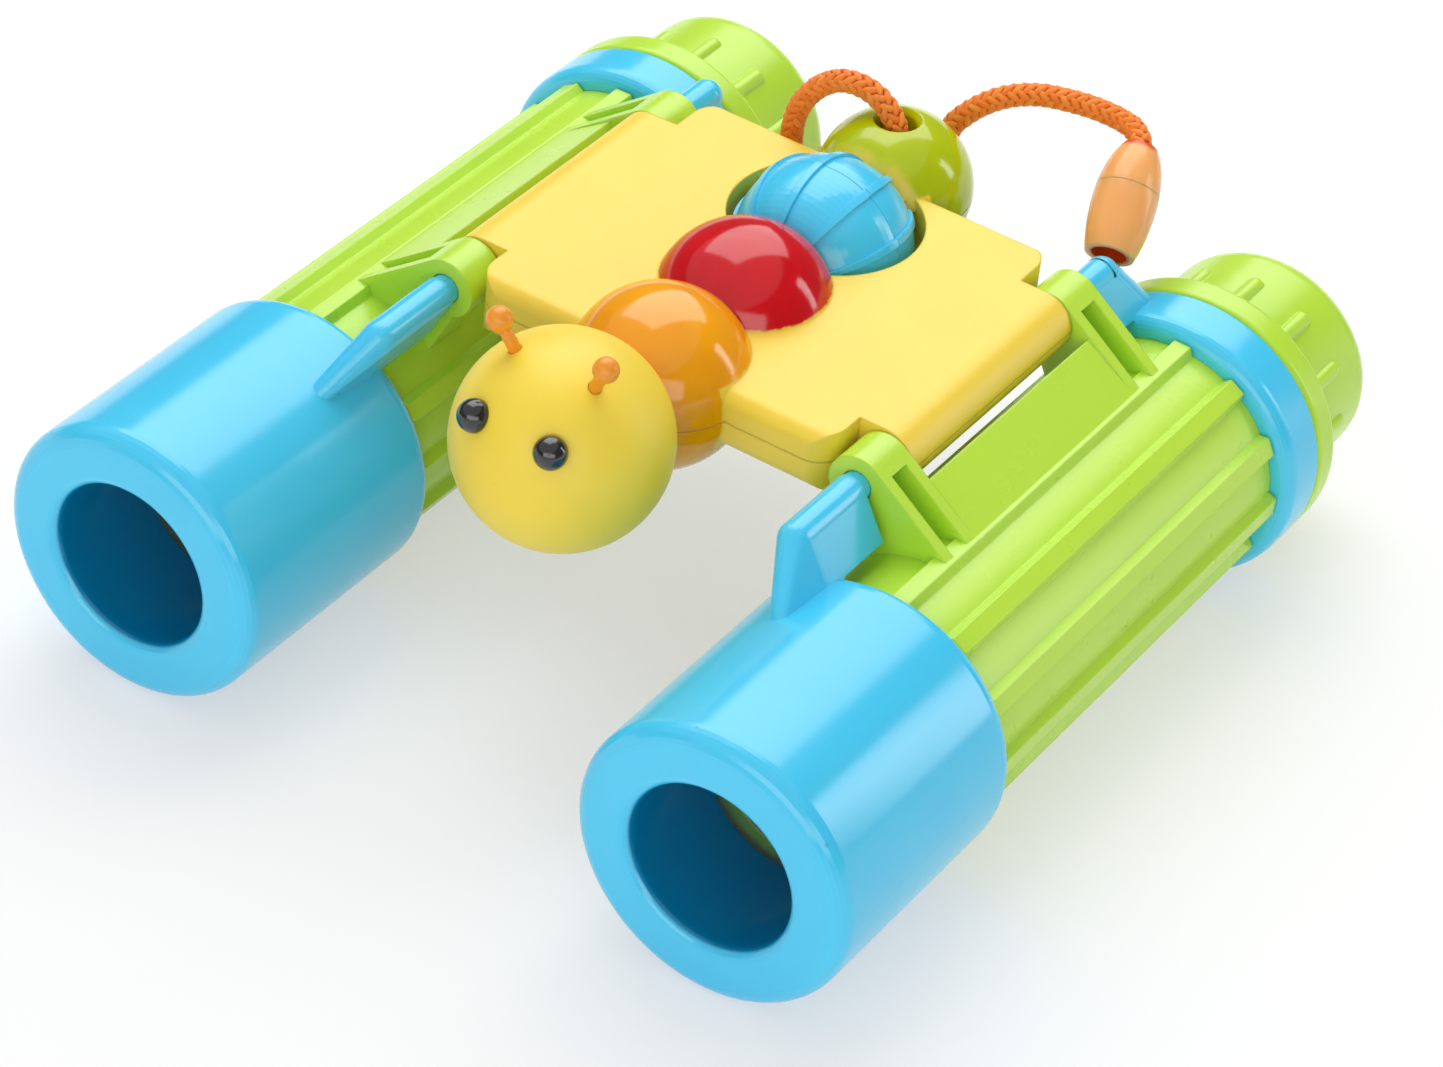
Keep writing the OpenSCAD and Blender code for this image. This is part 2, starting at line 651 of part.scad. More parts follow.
module eyepiece() {
    pocket_r = eye_lens_r + seat_fit;
    color("yellowgreen") at_barrel() {
        turned() polygon(concat(
            [[socket_r, flange_front_y]],
            arc([hood_r - flange_round, flange_front_y + flange_round], flange_round, -90, 0),
            arc([hood_r - flange_round, cap_front_y - flange_round], flange_round, 0, 90),
            [[cap_r, cap_front_y]],
            arc([cap_r - cap_round, rear_y - cap_round], cap_round, 0, 90),
            arc([eye_hole_r + eye_lip_round, rear_y - eye_lip_round], eye_lip_round, 90, half_turn),
            [[eye_hole_r, rear_y - end_wall], [pocket_r, rear_y - end_wall], [pocket_r, pocket_front_y],
                [cap_r - cap_wall, pocket_front_y], [cap_r - cap_wall, shoulder_y],
                [socket_r, shoulder_y]]));
        for (i = [0:grip_count - 1])
            rotate([0, full_turn * i / grip_count, 0])
                translate([0, cap_front_y + grip_front_gap + grip_r, cap_r - grip_sink]) {
                    sphere(r = grip_r);
                    rod_y(grip_r, 0, grip_length - grip_r * 2);
                    translate([0, grip_length - grip_r * 2, 0]) sphere(r = grip_r);
                }
    }
}

// A lens with a flat outer face and a shallow dome inside
module lens(r, t, dome_r, sag, y0, inward) {
    ball = (dome_r * dome_r + sag * sag) / (2 * sag);
    spread = asin(dome_r / ball);
    color("aliceblue", 0.5) at_barrel() translate([0, y0, 0]) mirror([0, inward ? 0 : 1, 0]) turned()
        polygon(concat([[0, 0], [r, 0], [r, t]],
            arc([0, t + sag - ball], ball, quarter_turn - spread, quarter_turn)));
}

module objective_lens() {
    lens(objective_r, objective_t, objective_clear_r, objective_sag, lens_front_y, true);
}

module eye_lens() {
    lens(eye_lens_r, eye_lens_t, eye_lens_clear_r, eye_lens_sag, eye_lens_back_y, false);
}

// Bridge
module rounded_rect(w0, w1, h0, h1, r) {
    translate([w0 + r, h0]) square([w1 - w0 - 2 * r, h1 - h0]);
    translate([w0, h0 + r]) square([w1 - w0, h1 - h0 - 2 * r]);
    for (x = [w0 + r, w1 - r])
        for (y = [h0 + r, h1 - r])
            translate([x, y]) circle(r = r);
}

module plate() {
    along_y(notch_front_y, notch_rear_y) {
        translate([-edge_x, plate_bottom_z]) square([2 * edge_x, bridge_t]);
        for (s = [-1, 1])
            translate([s * edge_x, hinge_z]) circle(r = bridge_t / 2);
    }
    intersection() {
        translate([-bridge_half_w, 0, 0]) rotate([90, 0, 90]) linear_extrude(2 * bridge_half_w)
            union() {
                rounded_rect(bridge_front, tail_y - tail_r, plate_bottom_z, plate_top_z, edge_round);
                rounded_rect(0, bridge_rear, plate_bottom_z, plate_top_z, rear_edge_round);
            }
        translate([0, 0, plate_bottom_z]) linear_extrude(bridge_t)
            rounded_rect(-bridge_half_w, bridge_half_w, bridge_front, bridge_rear, corner_r);
    }
}

module body_balls(less) {
    translate([0, front_ball_y, hinge_z]) sphere(r = ball_r - less);
    translate([0, middle_ball_y, hinge_z]) sphere(r = ball_r - less);
    translate([tail_x, tail_y, hinge_z]) sphere(r = tail_r - less);
}

module wheel_opening(r) {
    translate([0, wheel_y, plate_bottom_z - overrun]) cylinder(r = r, h = bridge_t + 2 * overrun);
}

module bridge_outside() {
    plate();
    body_balls(0);
}

// Places of the screws: each has X, Y and the height of the face that its head is sunk in
screws = concat(
    [for (s = [-1, 1]) for (y = [front_screw_y, rear_screw_y]) [s * screw_x, y, plate_bottom_z]],
    [for (s = [-1, 1]) [s * nub_x, nub_y, plate_bottom_z - nub_h]]);

module bridge_inside_walls() {
    intersection() {
        bridge_outside();
        union() {
            difference() {
                wheel_opening(opening_r + rim_t);
                wheel_opening(opening_r);
            }
            for (s = screws)
                translate([s[0], s[1], plate_bottom_z]) cylinder(r = boss_r, h = bridge_t);
            for (y = [axle_front_y - axle_end_gap, axle_rear_y + axle_end_gap - bulkhead_t])
                translate([-bulkhead_w / 2, y, hinge_z - bulkhead_w / 2])
                    cube([bulkhead_w, bulkhead_t, bulkhead_w]);
            translate([cord_hole_x, tail_y, hinge_z - tail_r])
                cylinder(r = cord_hole_r + sleeve_t, h = 2 * tail_r);
        }
    }
    translate([0, 0, hinge_z])
        rod_y(neck_r, front_ball_front_y - neck_length, front_ball_front_y + shell_wall);
}

module wheel_space() {
    intersection() {
        translate([0, wheel_y, hinge_z]) sphere(r = wheel_r + wheel_rib_h + wheel_gap);
        translate([0, 0, hinge_z])
            rod_y(wheel_r * 2, wheel_front_y - wheel_gap, wheel_rear_y + wheel_gap);
    }
}

module bridge_whole() {
    difference() {
        union() {
            difference() {
                union() {
                    difference() {
                        plate();
                        wheel_opening(opening_r);
                    }
                    body_balls(0);
                }
                translate([-cavity_half_w, bridge_front + shell_wall, plate_bottom_z + shell_wall])
                    cube([2 * cavity_half_w, bridge_rear - bridge_front - 2 * shell_wall,
                        bridge_t - 2 * shell_wall]);
                body_balls(shell_wall);
            }
            bridge_inside_walls();
            for (s = [-1, 1])
                translate([s * nub_x, nub_y, plate_bottom_z - nub_h])
                    cylinder(r = nub_r, h = nub_h + overrun);
        }
        wheel_space();
        translate([0, 0, hinge_z])
            rod_y(axle_r + seat_fit, axle_front_y - axle_end_gap / 2, axle_rear_y + axle_end_gap / 2);
        for (s = [-1, 1])
            translate([s * hinge_x, 0, hinge_z]) {
                rod_y(pin_bore_r, notch_front_y - overrun, notch_front_y + pin_depth + side_gap);
                rod_y(pin_bore_r, notch_rear_y - pin_depth - side_gap, notch_rear_y + overrun);
            }
        translate([cord_hole_x, tail_y, hinge_z - tail_r - overrun])
            cylinder(r = cord_hole_r, h = 2 * (tail_r + overrun));
        for (s = [-1, 1])
            translate([cord_hole_x, tail_y, hinge_z]) rotate([s > 0 ? 0 : half_turn, 0, 0])
                translate([0, 0, tail_r - mouth_flare * 2])
                    cylinder(r1 = cord_hole_r, r2 = cord_hole_r + mouth_flare * 2, h = mouth_flare * 3);
        for (s = screws)
            translate([s[0], s[1], s[2]]) {
                translate([0, 0, -overrun])
                    cylinder(r = screw_head_r + side_gap, h = overrun + screw_sink + screw_head_h + seat_fit);
                cylinder(r = screw_hole_r, h = hinge_z - s[2]);
                cylinder(r = pilot_r, h = screw_top_z + side_gap - s[2]);
            }
    }
}

module half_space(above) {
    span = overall_length;
    translate([-span, -span, above ? hinge_z + seam_gap / 2 : hinge_z - seam_gap / 2 - span])
        cube([2 * span, 2 * span, span]);
}

module bridge_top_shell() {
    color("khaki") intersection() {
        bridge_whole();
        half_space(true);
    }
}

module bridge_bottom_shell() {
    color("khaki") intersection() {
        bridge_whole();
        half_space(false);
    }
}

module bridge_screws() {
    color("silver") for (s = screws)
        translate([s[0], s[1], s[2] + screw_sink]) {
            cylinder(r = screw_head_r, h = screw_head_h);
            cylinder(r = screw_r, h = screw_top_z - s[2] - screw_sink);
        }
}

// Head, with its seat on the front ball
module at_head() {
    translate([0, head_y, head_z]) children();
}

// Z along the line from the head to the front ball
module along_neck(y, z) {
    translate([0, y, z]) rotate([neck_turn, 0, 0]) children();
}

// Z points out of the head at a place given by two turns
module on_head(turn, lift) {
    at_head() rotate([quarter_turn - lift, 0, turn]) children();
}

module face_places() {
    for (s = [-1, 1])
        on_head(s * eye_turn_angle, eye_lift_angle) children();
}

module antenna_places() {
    for (s = [-1, 1])
        on_head(s * antenna_turn_angle, antenna_lift_angle) children();
}

module head() {
    color("gold") difference() {
        along_neck(head_y, head_z) sphere(r = head_r);
        difference() {
            along_neck(head_y, head_z) sphere(r = head_r - head_wall);
            along_neck(front_ball_y, hinge_z) sphere(r = ball_r + head_wall);
            translate([0, 0, hinge_z])
                rod_y(neck_boss_r, front_ball_front_y - neck_length - head_wall, front_ball_y);
        }
        along_neck(front_ball_y, hinge_z) sphere(r = ball_r + seat_fit);
        translate([0, 0, hinge_z])
            rod_y(neck_r + seat_fit, front_ball_front_y - neck_length - head_wall - overrun, front_ball_y);
        face_places() translate([0, 0, head_r - stem_depth - seat_fit])
            cylinder(r = eye_stem_r + seat_fit, h = stem_depth + overrun);
        antenna_places() translate([0, 0, head_r - stem_depth - seat_fit])
            cylinder(r = stalk_r + seat_fit, h = stem_depth + overrun);
    }
}

module bead_eyes() {
    color("black") face_places() union() {
        difference() {
            translate([0, 0, head_r + eye_proud]) sphere(r = eye_r);
            sphere(r = head_r + seat_fit);
        }
        translate([0, 0, head_r - stem_depth]) cylinder(r = eye_stem_r, h = stem_depth + eye_r);
    }
}

module antennae() {
    color("orange") antenna_places() union() {
        translate([0, 0, head_r - stem_depth]) cylinder(r = stalk_r, h = stem_depth + stalk_length);
        translate([0, 0, head_r + stalk_length]) sphere(r = knob_r);
    }
}

// Focus wheel, in two halves on one axle. A half is drawn as the front one.
function wheel_arc(r, y0, y1) = arc([0, 0], r, asin(y0 / r), asin(y1 / r), wheel_steps);
function turned_back(p) = [for (i = [len(p) - 1:-1:0]) p[i]];

module wheel_half(behind) {
    seam = -seam_gap / 2;
    end = -wheel_half_w;
    inside = end + wheel_end_wall;
    color("deepskyblue") translate([0, wheel_y, hinge_z]) mirror([0, behind ? 1 : 0, 0]) union() {
        turned() polygon(concat(
            [[wheel_bore_r, end]], wheel_arc(wheel_r, end, seam),
            turned_back(wheel_arc(wheel_r - wheel_wall, inside, seam)),
            [[hub_r, inside], [hub_r, seam], [wheel_bore_r, seam]]));
        for (i = [0:wheel_ribs - 1])
            rotate([0, wheel_start_angle + full_turn * i / wheel_ribs, 0])
                rotate([-90, 0, 0]) rotate_extrude(angle = wheel_rib_angle)
                    polygon(concat(
                        wheel_arc(wheel_r + wheel_rib_h, end, seam),
                        turned_back(wheel_arc(wheel_r - wheel_wall / 2, end, seam))));
    }
}

module focus_wheel_front() {
    wheel_half(false);
}

module focus_wheel_rear() {
    wheel_half(true);
}

module wheel_axle() {
    color("silver") translate([0, 0, hinge_z]) rod_y(axle_r, axle_front_y, axle_rear_y);
}

// The two sides
module left_tube() { mirror(mirror_x) tube(); }
module left_hood() { mirror(mirror_x) hood(); }
module left_band() { mirror(mirror_x) band(); }
module left_eyepiece() { mirror(mirror_x) eyepiece(); }
module left_objective_lens() { mirror(mirror_x) objective_lens(); }
module left_eye_lens() { mirror(mirror_x) eye_lens(); }
module right_tube() { tube(); }
module right_hood() { hood(); }
module right_band() { band(); }
module right_eyepiece() { eyepiece(); }
module right_objective_lens() { objective_lens(); }
module right_eye_lens() { eye_lens(); }

// Neck cord
module cord_strand_a() {
    color("darkorange") tube_of(smooth_route(strand_a, strand_steps), cord_r, strand_sides);
}

module cord_strand_b() {
    color("darkorange") tube_of(smooth_route(strand_b, strand_steps), cord_r, strand_sides);
}

module cord_hank() {
    color("darkorange") tube_of(hank_line, cord_r, hank_sides);
}

module cord_tie() {
    inner_w = 2 * (hank_fold_r - hank_draw + cord_r + tie_gap);
    top = hank_z + floor(hank_turns) * hank_layer + hank_waist_lift + cord_r + tie_gap;
    color("dimgray") translate([hank_x - tie_w / 2, hank_y, 0])
        difference() {
            rotate([90, 0, 90]) linear_extrude(tie_w)
                rounded_rect(-inner_w / 2 - tie_t, inner_w / 2 + tie_t, 0, top + tie_t, cord_r);
            translate([-overrun, 0, 0]) rotate([90, 0, 90]) linear_extrude(tie_w + 2 * overrun)
                rounded_rect(-inner_w / 2, inner_w / 2, tie_t, top, cord_r - tie_t);
        }
}

module at_bead() {
    translate(bead_mouth)
        rotate([0, acos(bead_axis[2] / bead_length), atan2(bead_axis[1], bead_axis[0])])
            children();
}

module bead_solid(u0, u1) {
    rotate_extrude() polygon(concat([[0, u0 * bead_length]],
        [for (i = [0:bead_steps]) let (u = u0 + (u1 - u0) * i / bead_steps)
            [bead_radius(u), u * bead_length]],
        [[0, u1 * bead_length]]));
}

module clasp_bead_body() {
    color("sandybrown") at_bead() difference() {
        bead_solid(0, bead_seam_share);
        translate([0, 0, -overrun]) cylinder(r = mouth_r, h = bead_length);
    }
}

module clasp_bead_cap() {
    color("sandybrown") at_bead() difference() {
        bead_solid(bead_seam_share + bead_seam_gap / bead_length, 1);
        cylinder(r = mouth_r, h = bead_length - cord_seat_depth - bead_web_t);
        translate([0, 0, bead_length - cord_seat_depth]) cylinder(r = cord_r, h = cord_seat_depth + overrun);
    }
}

module clasp_plug() {
    turn = [0, acos(hank_way[2]), atan2(hank_way[1], hank_way[0])];
    color("sandybrown") translate(hank_end) rotate(turn) union() {
        rotate_extrude() polygon(concat([[0, 0]],
            arc([plug_collar_r - plug_round, plug_round], plug_round, -90, 0),
            [[plug_collar_r, plug_collar_l], [0, plug_collar_l]]));
        cylinder(r = plug_stem_r, h = plug_collar_l + plug_stem_l);
        translate([0, 0, plug_collar_l + plug_stem_l]) sphere(r = plug_bulb_r);
    }
}

bridge_top_shell();
bridge_bottom_shell();
bridge_screws();
head();
bead_eyes();
antennae();
focus_wheel_front();
focus_wheel_rear();
wheel_axle();
left_tube();
left_hood();
left_band();
left_eyepiece();
left_objective_lens();
left_eye_lens();
right_tube();
right_hood();
right_band();
right_eyepiece();
right_objective_lens();
right_eye_lens();
cord_strand_a();
cord_strand_b();
cord_hank();
cord_tie();
clasp_bead_body();
clasp_bead_cap();
clasp_plug();
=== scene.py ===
"""Looks of the toy binoculars: finishes of the solids, the braided neck cord, and the studio."""

import logging
import math
from dataclasses import dataclass, field
from enum import Enum
from typing import Iterable, Optional, Sequence, Union

import bmesh
import bpy
from mathutils import Matrix, Vector


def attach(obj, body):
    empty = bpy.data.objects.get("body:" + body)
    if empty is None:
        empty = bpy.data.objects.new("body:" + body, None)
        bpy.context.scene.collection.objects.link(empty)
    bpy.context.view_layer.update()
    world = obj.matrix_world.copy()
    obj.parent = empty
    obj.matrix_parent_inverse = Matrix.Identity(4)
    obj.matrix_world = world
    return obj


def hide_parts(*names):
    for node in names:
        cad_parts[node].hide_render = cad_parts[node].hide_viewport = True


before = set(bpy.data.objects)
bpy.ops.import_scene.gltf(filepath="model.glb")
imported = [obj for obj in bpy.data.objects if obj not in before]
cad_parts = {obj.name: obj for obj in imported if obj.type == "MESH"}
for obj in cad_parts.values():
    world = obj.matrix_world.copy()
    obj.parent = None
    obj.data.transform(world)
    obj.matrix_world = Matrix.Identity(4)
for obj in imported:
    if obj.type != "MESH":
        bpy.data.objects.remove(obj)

LOG = logging.getLogger("binoculars")
MM = 0.001
Colour = tuple[float, float, float]
Point = tuple[float, float, float]
Span = tuple[float, float]
Socket = bpy.types.NodeSocket
WHITE: Colour = (1.0, 1.0, 1.0)
PATCH: Span = (0.35, 0.7)  # noise values between which a soft patch of colour rises
EDGE_SAMPLES = 6
SPLINE_STEPS = 12  # points on each stretch of a smooth line
FIRST_SIDE = (1.0, 0.0, 0.3)  # where a cord's frame looks before it is squared to the line
HANK_LEGS = 4  # near run, left fold, far run and right fold make one turn of the hank


def srgb(red: int, green: int, blue: int) -> Colour:
    """Gives the linear colour of three display values from 0 to 255.

    Args:
        red: Display value of red.
        green: Display value of green.
        blue: Display value of blue.

    Returns:
        The linear colour.
    """
    parts = [x / 255 for x in (red, green, blue)]
    return tuple(x / 12.92 if x <= 0.04045 else ((x + 0.055) / 1.055) ** 2.4 for x in parts)


def shaded(colour: Colour, share: float) -> Colour:
    """Gives a colour with its light brought down to a share."""
    return tuple(x * share for x in colour)


# ---------------------------------------------------------------------------
# Shader graph


class Detail(Enum):
    """How many finer layers a noise has."""

    SMOOTH = 1.0
    SOFT = 2.0
    MIXED = 3.0
    FINE = 4.0


class Value:
    """A number on a socket; plain sums on it add Math nodes."""

    def __init__(self, graph: "Graph", socket: Socket) -> None:
        """Keeps the graph and the socket."""
        self.graph = graph
        self.socket = socket

    def _sum(self, operation: str, first: "Operand", second: "Operand") -> "Value":
        """Adds one Math node.

        Args:
            operation: Name of the Math node's operation.
            first: First operand.
            second: Second operand.

        Returns:
            The node's result.
        """
        made = self.graph.node("ShaderNodeMath", {"operation": operation}, {0: first, 1: second})
        return Value(self.graph, made.outputs[0])

    def __add__(self, other: "Operand") -> "Value":
        """Adds."""
        return self._sum("ADD", self, other)

    def __radd__(self, other: "Operand") -> "Value":
        """Adds, with the number first."""
        return self._sum("ADD", other, self)

    def __sub__(self, other: "Operand") -> "Value":
        """Takes away."""
        return self._sum("SUBTRACT", self, other)

    def __rsub__(self, other: "Operand") -> "Value":
        """Takes away from a number."""
        return self._sum("SUBTRACT", other, self)

    def __mul__(self, other: "Operand") -> "Value":
        """Multiplies."""
        return self._sum("MULTIPLY", self, other)

    def __rmul__(self, other: "Operand") -> "Value":
        """Multiplies, with the number first."""
        return self._sum("MULTIPLY", other, self)

    def __abs__(self) -> "Value":
        """Drops the sign."""
        return self._sum("ABSOLUTE", self, 0.0)

    def greatest(self, other: "Operand") -> "Value":
        """Takes the greater of two."""
        return self._sum("MAXIMUM", self, other)

    def sine(self) -> "Value":
        """Takes the sine."""
        return self._sum("SINE", self, 0.0)

    def step(self, low: float, high: float) -> "Value":
        """Rises smoothly from 0 to 1.

        Args:
            low: Where the rise starts.
            high: Where it ends; below low, the step falls instead.

        Returns:
            The smooth step.
        """
        start, end, first, last = (low, high, 0.0, 1.0) if low < high else (high, low, 1.0, 0.0)
        made = self.graph.node(
            "ShaderNodeMapRange",
            {"interpolation_type": "SMOOTHSTEP", "clamp": True},
            {"Value": self, "From Min": start, "From Max": end, "To Min": first, "To Max": last},
        )
        return Value(self.graph, made.outputs["Result"])


Operand = Union[Value, float]
Feed = Union[Value, Socket, float, Sequence[float]]


class Graph:
    """The nodes of a material or a world, with the calls that finishes are written in."""

    def __init__(self, owner: Union[bpy.types.Material, bpy.types.World]) -> None:
        """Starts with no nodes.

        Args:
            owner: The material or world that the nodes belong to.
        """
        self.owner = owner
        owner.use_nodes = True
        self.tree = owner.node_tree
        self.tree.nodes.clear()

    def node(
        self, kind: str, settings: dict[str, object], inputs: dict[Union[str, int], Feed]
    ) -> bpy.types.Node:
        """Adds a node.

        Args:
            kind: The node's type.
            settings: Its settings, which are set first.
            inputs: Values or links of its sockets, by name or number.

        Returns:
            The node.
        """
        made = self.tree.nodes.new(kind)
        for key, value in settings.items():
            setattr(made, key, value)
        for key, feed in inputs.items():
            socket = made.inputs[key]
            if isinstance(feed, Value):
                self.tree.links.new(feed.socket, socket)
            elif isinstance(feed, Socket):
                self.tree.links.new(feed, socket)
            elif socket.type == "RGBA" and len(feed) == 3:
                socket.default_value = (*feed, 1.0)
            else:
                socket.default_value = feed
        return made

    def place(self) -> Socket:
        """Gives the surface's place in the row frame."""
        return self.node("ShaderNodeTexCoord", {}, {}).outputs["Object"]

    def parts(self, vector: Socket) -> tuple[Value, Value, Value]:
        """Splits a vector into its three numbers."""
        made = self.node("ShaderNodeSeparateXYZ", {}, {0: vector})
        return tuple(Value(self, out) for out in made.outputs)

    def vectors(self, operation: str, first: Feed, second: Feed) -> bpy.types.Node:
        """Adds a Vector Math node on two vectors."""
        return self.node("ShaderNodeVectorMath", {"operation": operation}, {0: first, 1: second})

    def attribute(self, name: str) -> Value:
        """Reads a number that the mesh carries."""
        made = self.node("ShaderNodeAttribute", {"attribute_name": name}, {})
        return Value(self, made.outputs["Fac"])

    def distance(self, vector: Socket, point: Point) -> Value:
        """Measures how far a place is from a point."""
        return Value(self, self.vectors("DISTANCE", vector, point).outputs["Value"])

    def along(self, vector: Socket, start: Vector, axis: Vector) -> Value:
        """Measures how far along an axis a place is.

        Args:
            vector: The place.
            start: Where the axis starts.
            axis: Its direction, of length one.

        Returns:
            The length along the axis.
        """
        moved = self.vectors("SUBTRACT", vector, tuple(start)).outputs[0]
        return Value(self, self.vectors("DOT_PRODUCT", moved, tuple(axis)).outputs["Value"])

    def noise(
        self, vector: Socket, size: float, detail: Detail = Detail.SOFT
    ) -> Value:
        """Gives a soft noise from 0 to 1.

        Args:
            vector: The place it is read at.
            size: The width of its patches in metres.
            detail: How many finer layers it has.

        Returns:
            The noise.
        """
        made = self.node(
            "ShaderNodeTexNoise",
            {},
            {"Vector": vector, "Scale": 1 / size, "Detail": detail.value},
        )
        return Value(self, made.outputs["Fac"])

    def ragged(self, vector: Socket, size: float, depth: float) -> Value:
        """Gives the wander of a rough edge, as a noise round zero of that size and depth."""
        return (self.noise(vector, size, Detail.MIXED) - 0.5) * depth

    def cells(self, vector: Socket, size: float) -> Value:
        """Gives the distance to scattered points, in cells of a given width."""
        made = self.node("ShaderNodeTexVoronoi", {}, {"Vector": vector, "Scale": 1 / size})
        return Value(self, made.outputs["Distance"])

    def mix(self, share: Operand, first: Feed, second: Feed) -> Socket:
        """Mixes two colours.

        Args:
            share: Share of the second colour.
            first: First colour.
            second: Second colour.

        Returns:
            The mixed colour.
        """
        made = self.node("ShaderNodeMix", {"data_type": "RGBA"}, {0: share, 6: first, 7: second})
        return made.outputs[2]

    def rounded(self, radius: float) -> Socket:
        """Gives a normal that rounds the edges by a radius in metres."""
        made = self.node("ShaderNodeBevel", {"samples": EDGE_SAMPLES}, {"Radius": radius})
        return made.outputs[0]

    def bump(
        self, height: Value, depth: float, normal: Socket
    ) -> Socket:
        """Gives a normal with fine relief.

        Args:
            height: The relief, from 0 to 1.
            depth: Its depth in metres.
            normal: The normal that carries it.

        Returns:
            The normal.
        """
        made = self.node(
            "ShaderNodeBump",
            {},
            {"Strength": 1.0, "Distance": depth, "Height": height, "Normal": normal},
        )
        return made.outputs[0]

    def surface(self, inputs: dict[str, Feed]) -> bpy.types.Material:
        """Ends the graph in a principled surface.

        Args:
            inputs: Values or links of the shader's sockets.

        Returns:
            The material.
        """
        made = self.node("ShaderNodeBsdfPrincipled", {}, inputs)
        self.node("ShaderNodeOutputMaterial", {}, {"Surface": made.outputs[0]})
        return self.owner


def material_graph(name: str) -> Graph:
    """Starts an empty material."""
    return Graph(bpy.data.materials.new(name))


# ---------------------------------------------------------------------------
# Finishes


@dataclass(frozen=True)
class MouldedPlastic:
    """Satin moulded plastic with a fine grain, a slow drift of colour and a few specks."""

    name: str
    colour: Colour
    drift: Colour
    drift_size: float = 0.03
    drift_share: float = 0.5
    roughness: float = 0.36
    haze: float = 0.05
    haze_size: float = 0.008
    specks: float = 0.5
    speck_gap: float = 0.011
    speck_rim: Span = (0.035, 0.02)
    speck_shade: float = 0.45
    grain: float = 0.000007
    grain_size: float = 0.0007
    wave_size: float = 0.006
    wave_share: float = 0.35
    edge: float = 0.0004
    glow: float = 0.12
    glow_reach: float = 0.0015
    glow_radii: Colour = (1.0, 0.8, 0.5)
    coat: float = 0.0
    coat_roughness: float = 0.12
    ior: float = 1.57

    def tint(self, graph: Graph, place: Socket) -> Socket:
        """Gives the colour over the surface.

        Args:
            graph: The material's graph.
            place: The surface's place.

        Returns:
            The colour.
        """
        slow = graph.noise(place, self.drift_size, Detail.MIXED).step(*PATCH)
        base = graph.mix(slow * self.drift_share, self.colour, self.drift)
        speck = graph.cells(place, self.speck_gap).step(*self.speck_rim) * self.specks
        return graph.mix(speck, base, shaded(self.colour, self.speck_shade))

    def gloss(self, graph: Graph, place: Socket) -> Operand:
        """Gives the roughness over the surface.

        Args:
            graph: The material's graph.
            place: The surface's place.

        Returns:
            The roughness.
        """
        haze = graph.noise(place, self.haze_size, Detail.FINE) * self.haze
        return haze + (self.roughness - self.haze / 2)

    def make(self) -> bpy.types.Material:
        """Builds the material.

        Returns:
            The material.
        """
        graph = material_graph(self.name)
        place = graph.place()
        wave = graph.noise(place, self.wave_size, Detail.SMOOTH) * self.wave_share
        relief = graph.noise(place, self.grain_size) + wave
        return graph.surface(
            {
                "Base Color": self.tint(graph, place),
                "Roughness": self.gloss(graph, place),
                "Subsurface Weight": self.glow,
                "Subsurface Radius": self.glow_radii,
                "Subsurface Scale": self.glow_reach,
                "Coat Weight": self.coat,
                "Coat Roughness": self.coat_roughness,
                "IOR": self.ior,
                "Normal": graph.bump(relief, self.grain, graph.rounded(self.edge)),
            }
        )


@dataclass(frozen=True)
class BarrelPlastic(MouldedPlastic):
    """Moulded plastic of a barrel, with painted shade: a darker colour on the wall of the bore."""

    # painted shade: deep is the darker colour laid on the bore's wall, where shade falls
    deep: Colour = (0.0, 0.0, 0.0)
    bore: float = 0.0136
    bore_rim: Span = (1.04, 1.01)
    half_spacing: float = 0.0525
    axis_height: float = 0.0232

    def tint(self, graph: Graph, place: Socket) -> Socket:
        """Gives the colour of the outside, and the painted shade on the bore's wall.

        Args:
            graph: The material's graph.
            place: The surface's place.

        Returns:
            The colour.
        """
        x, _, z = graph.parts(place)
        aside, rise = abs(x) - self.half_spacing, z - self.axis_height
        rim = [(self.bore * share) ** 2 for share in self.bore_rim]
        # painted shade: inside is 1 within the bore's radius of the barrel's axis
        inside = (aside * aside + rise * rise).step(*rim)
        return graph.mix(inside, super().tint(graph, place), self.deep)


@dataclass(frozen=True)
class BallPaint:
    """Gloss paint sprayed on one ball of the bridge, fading out at the plate."""

    centre: Point
    radius: float
    colour: Colour
    deep: Colour
    faces_rear: bool = False
    bare: Optional[Span] = None


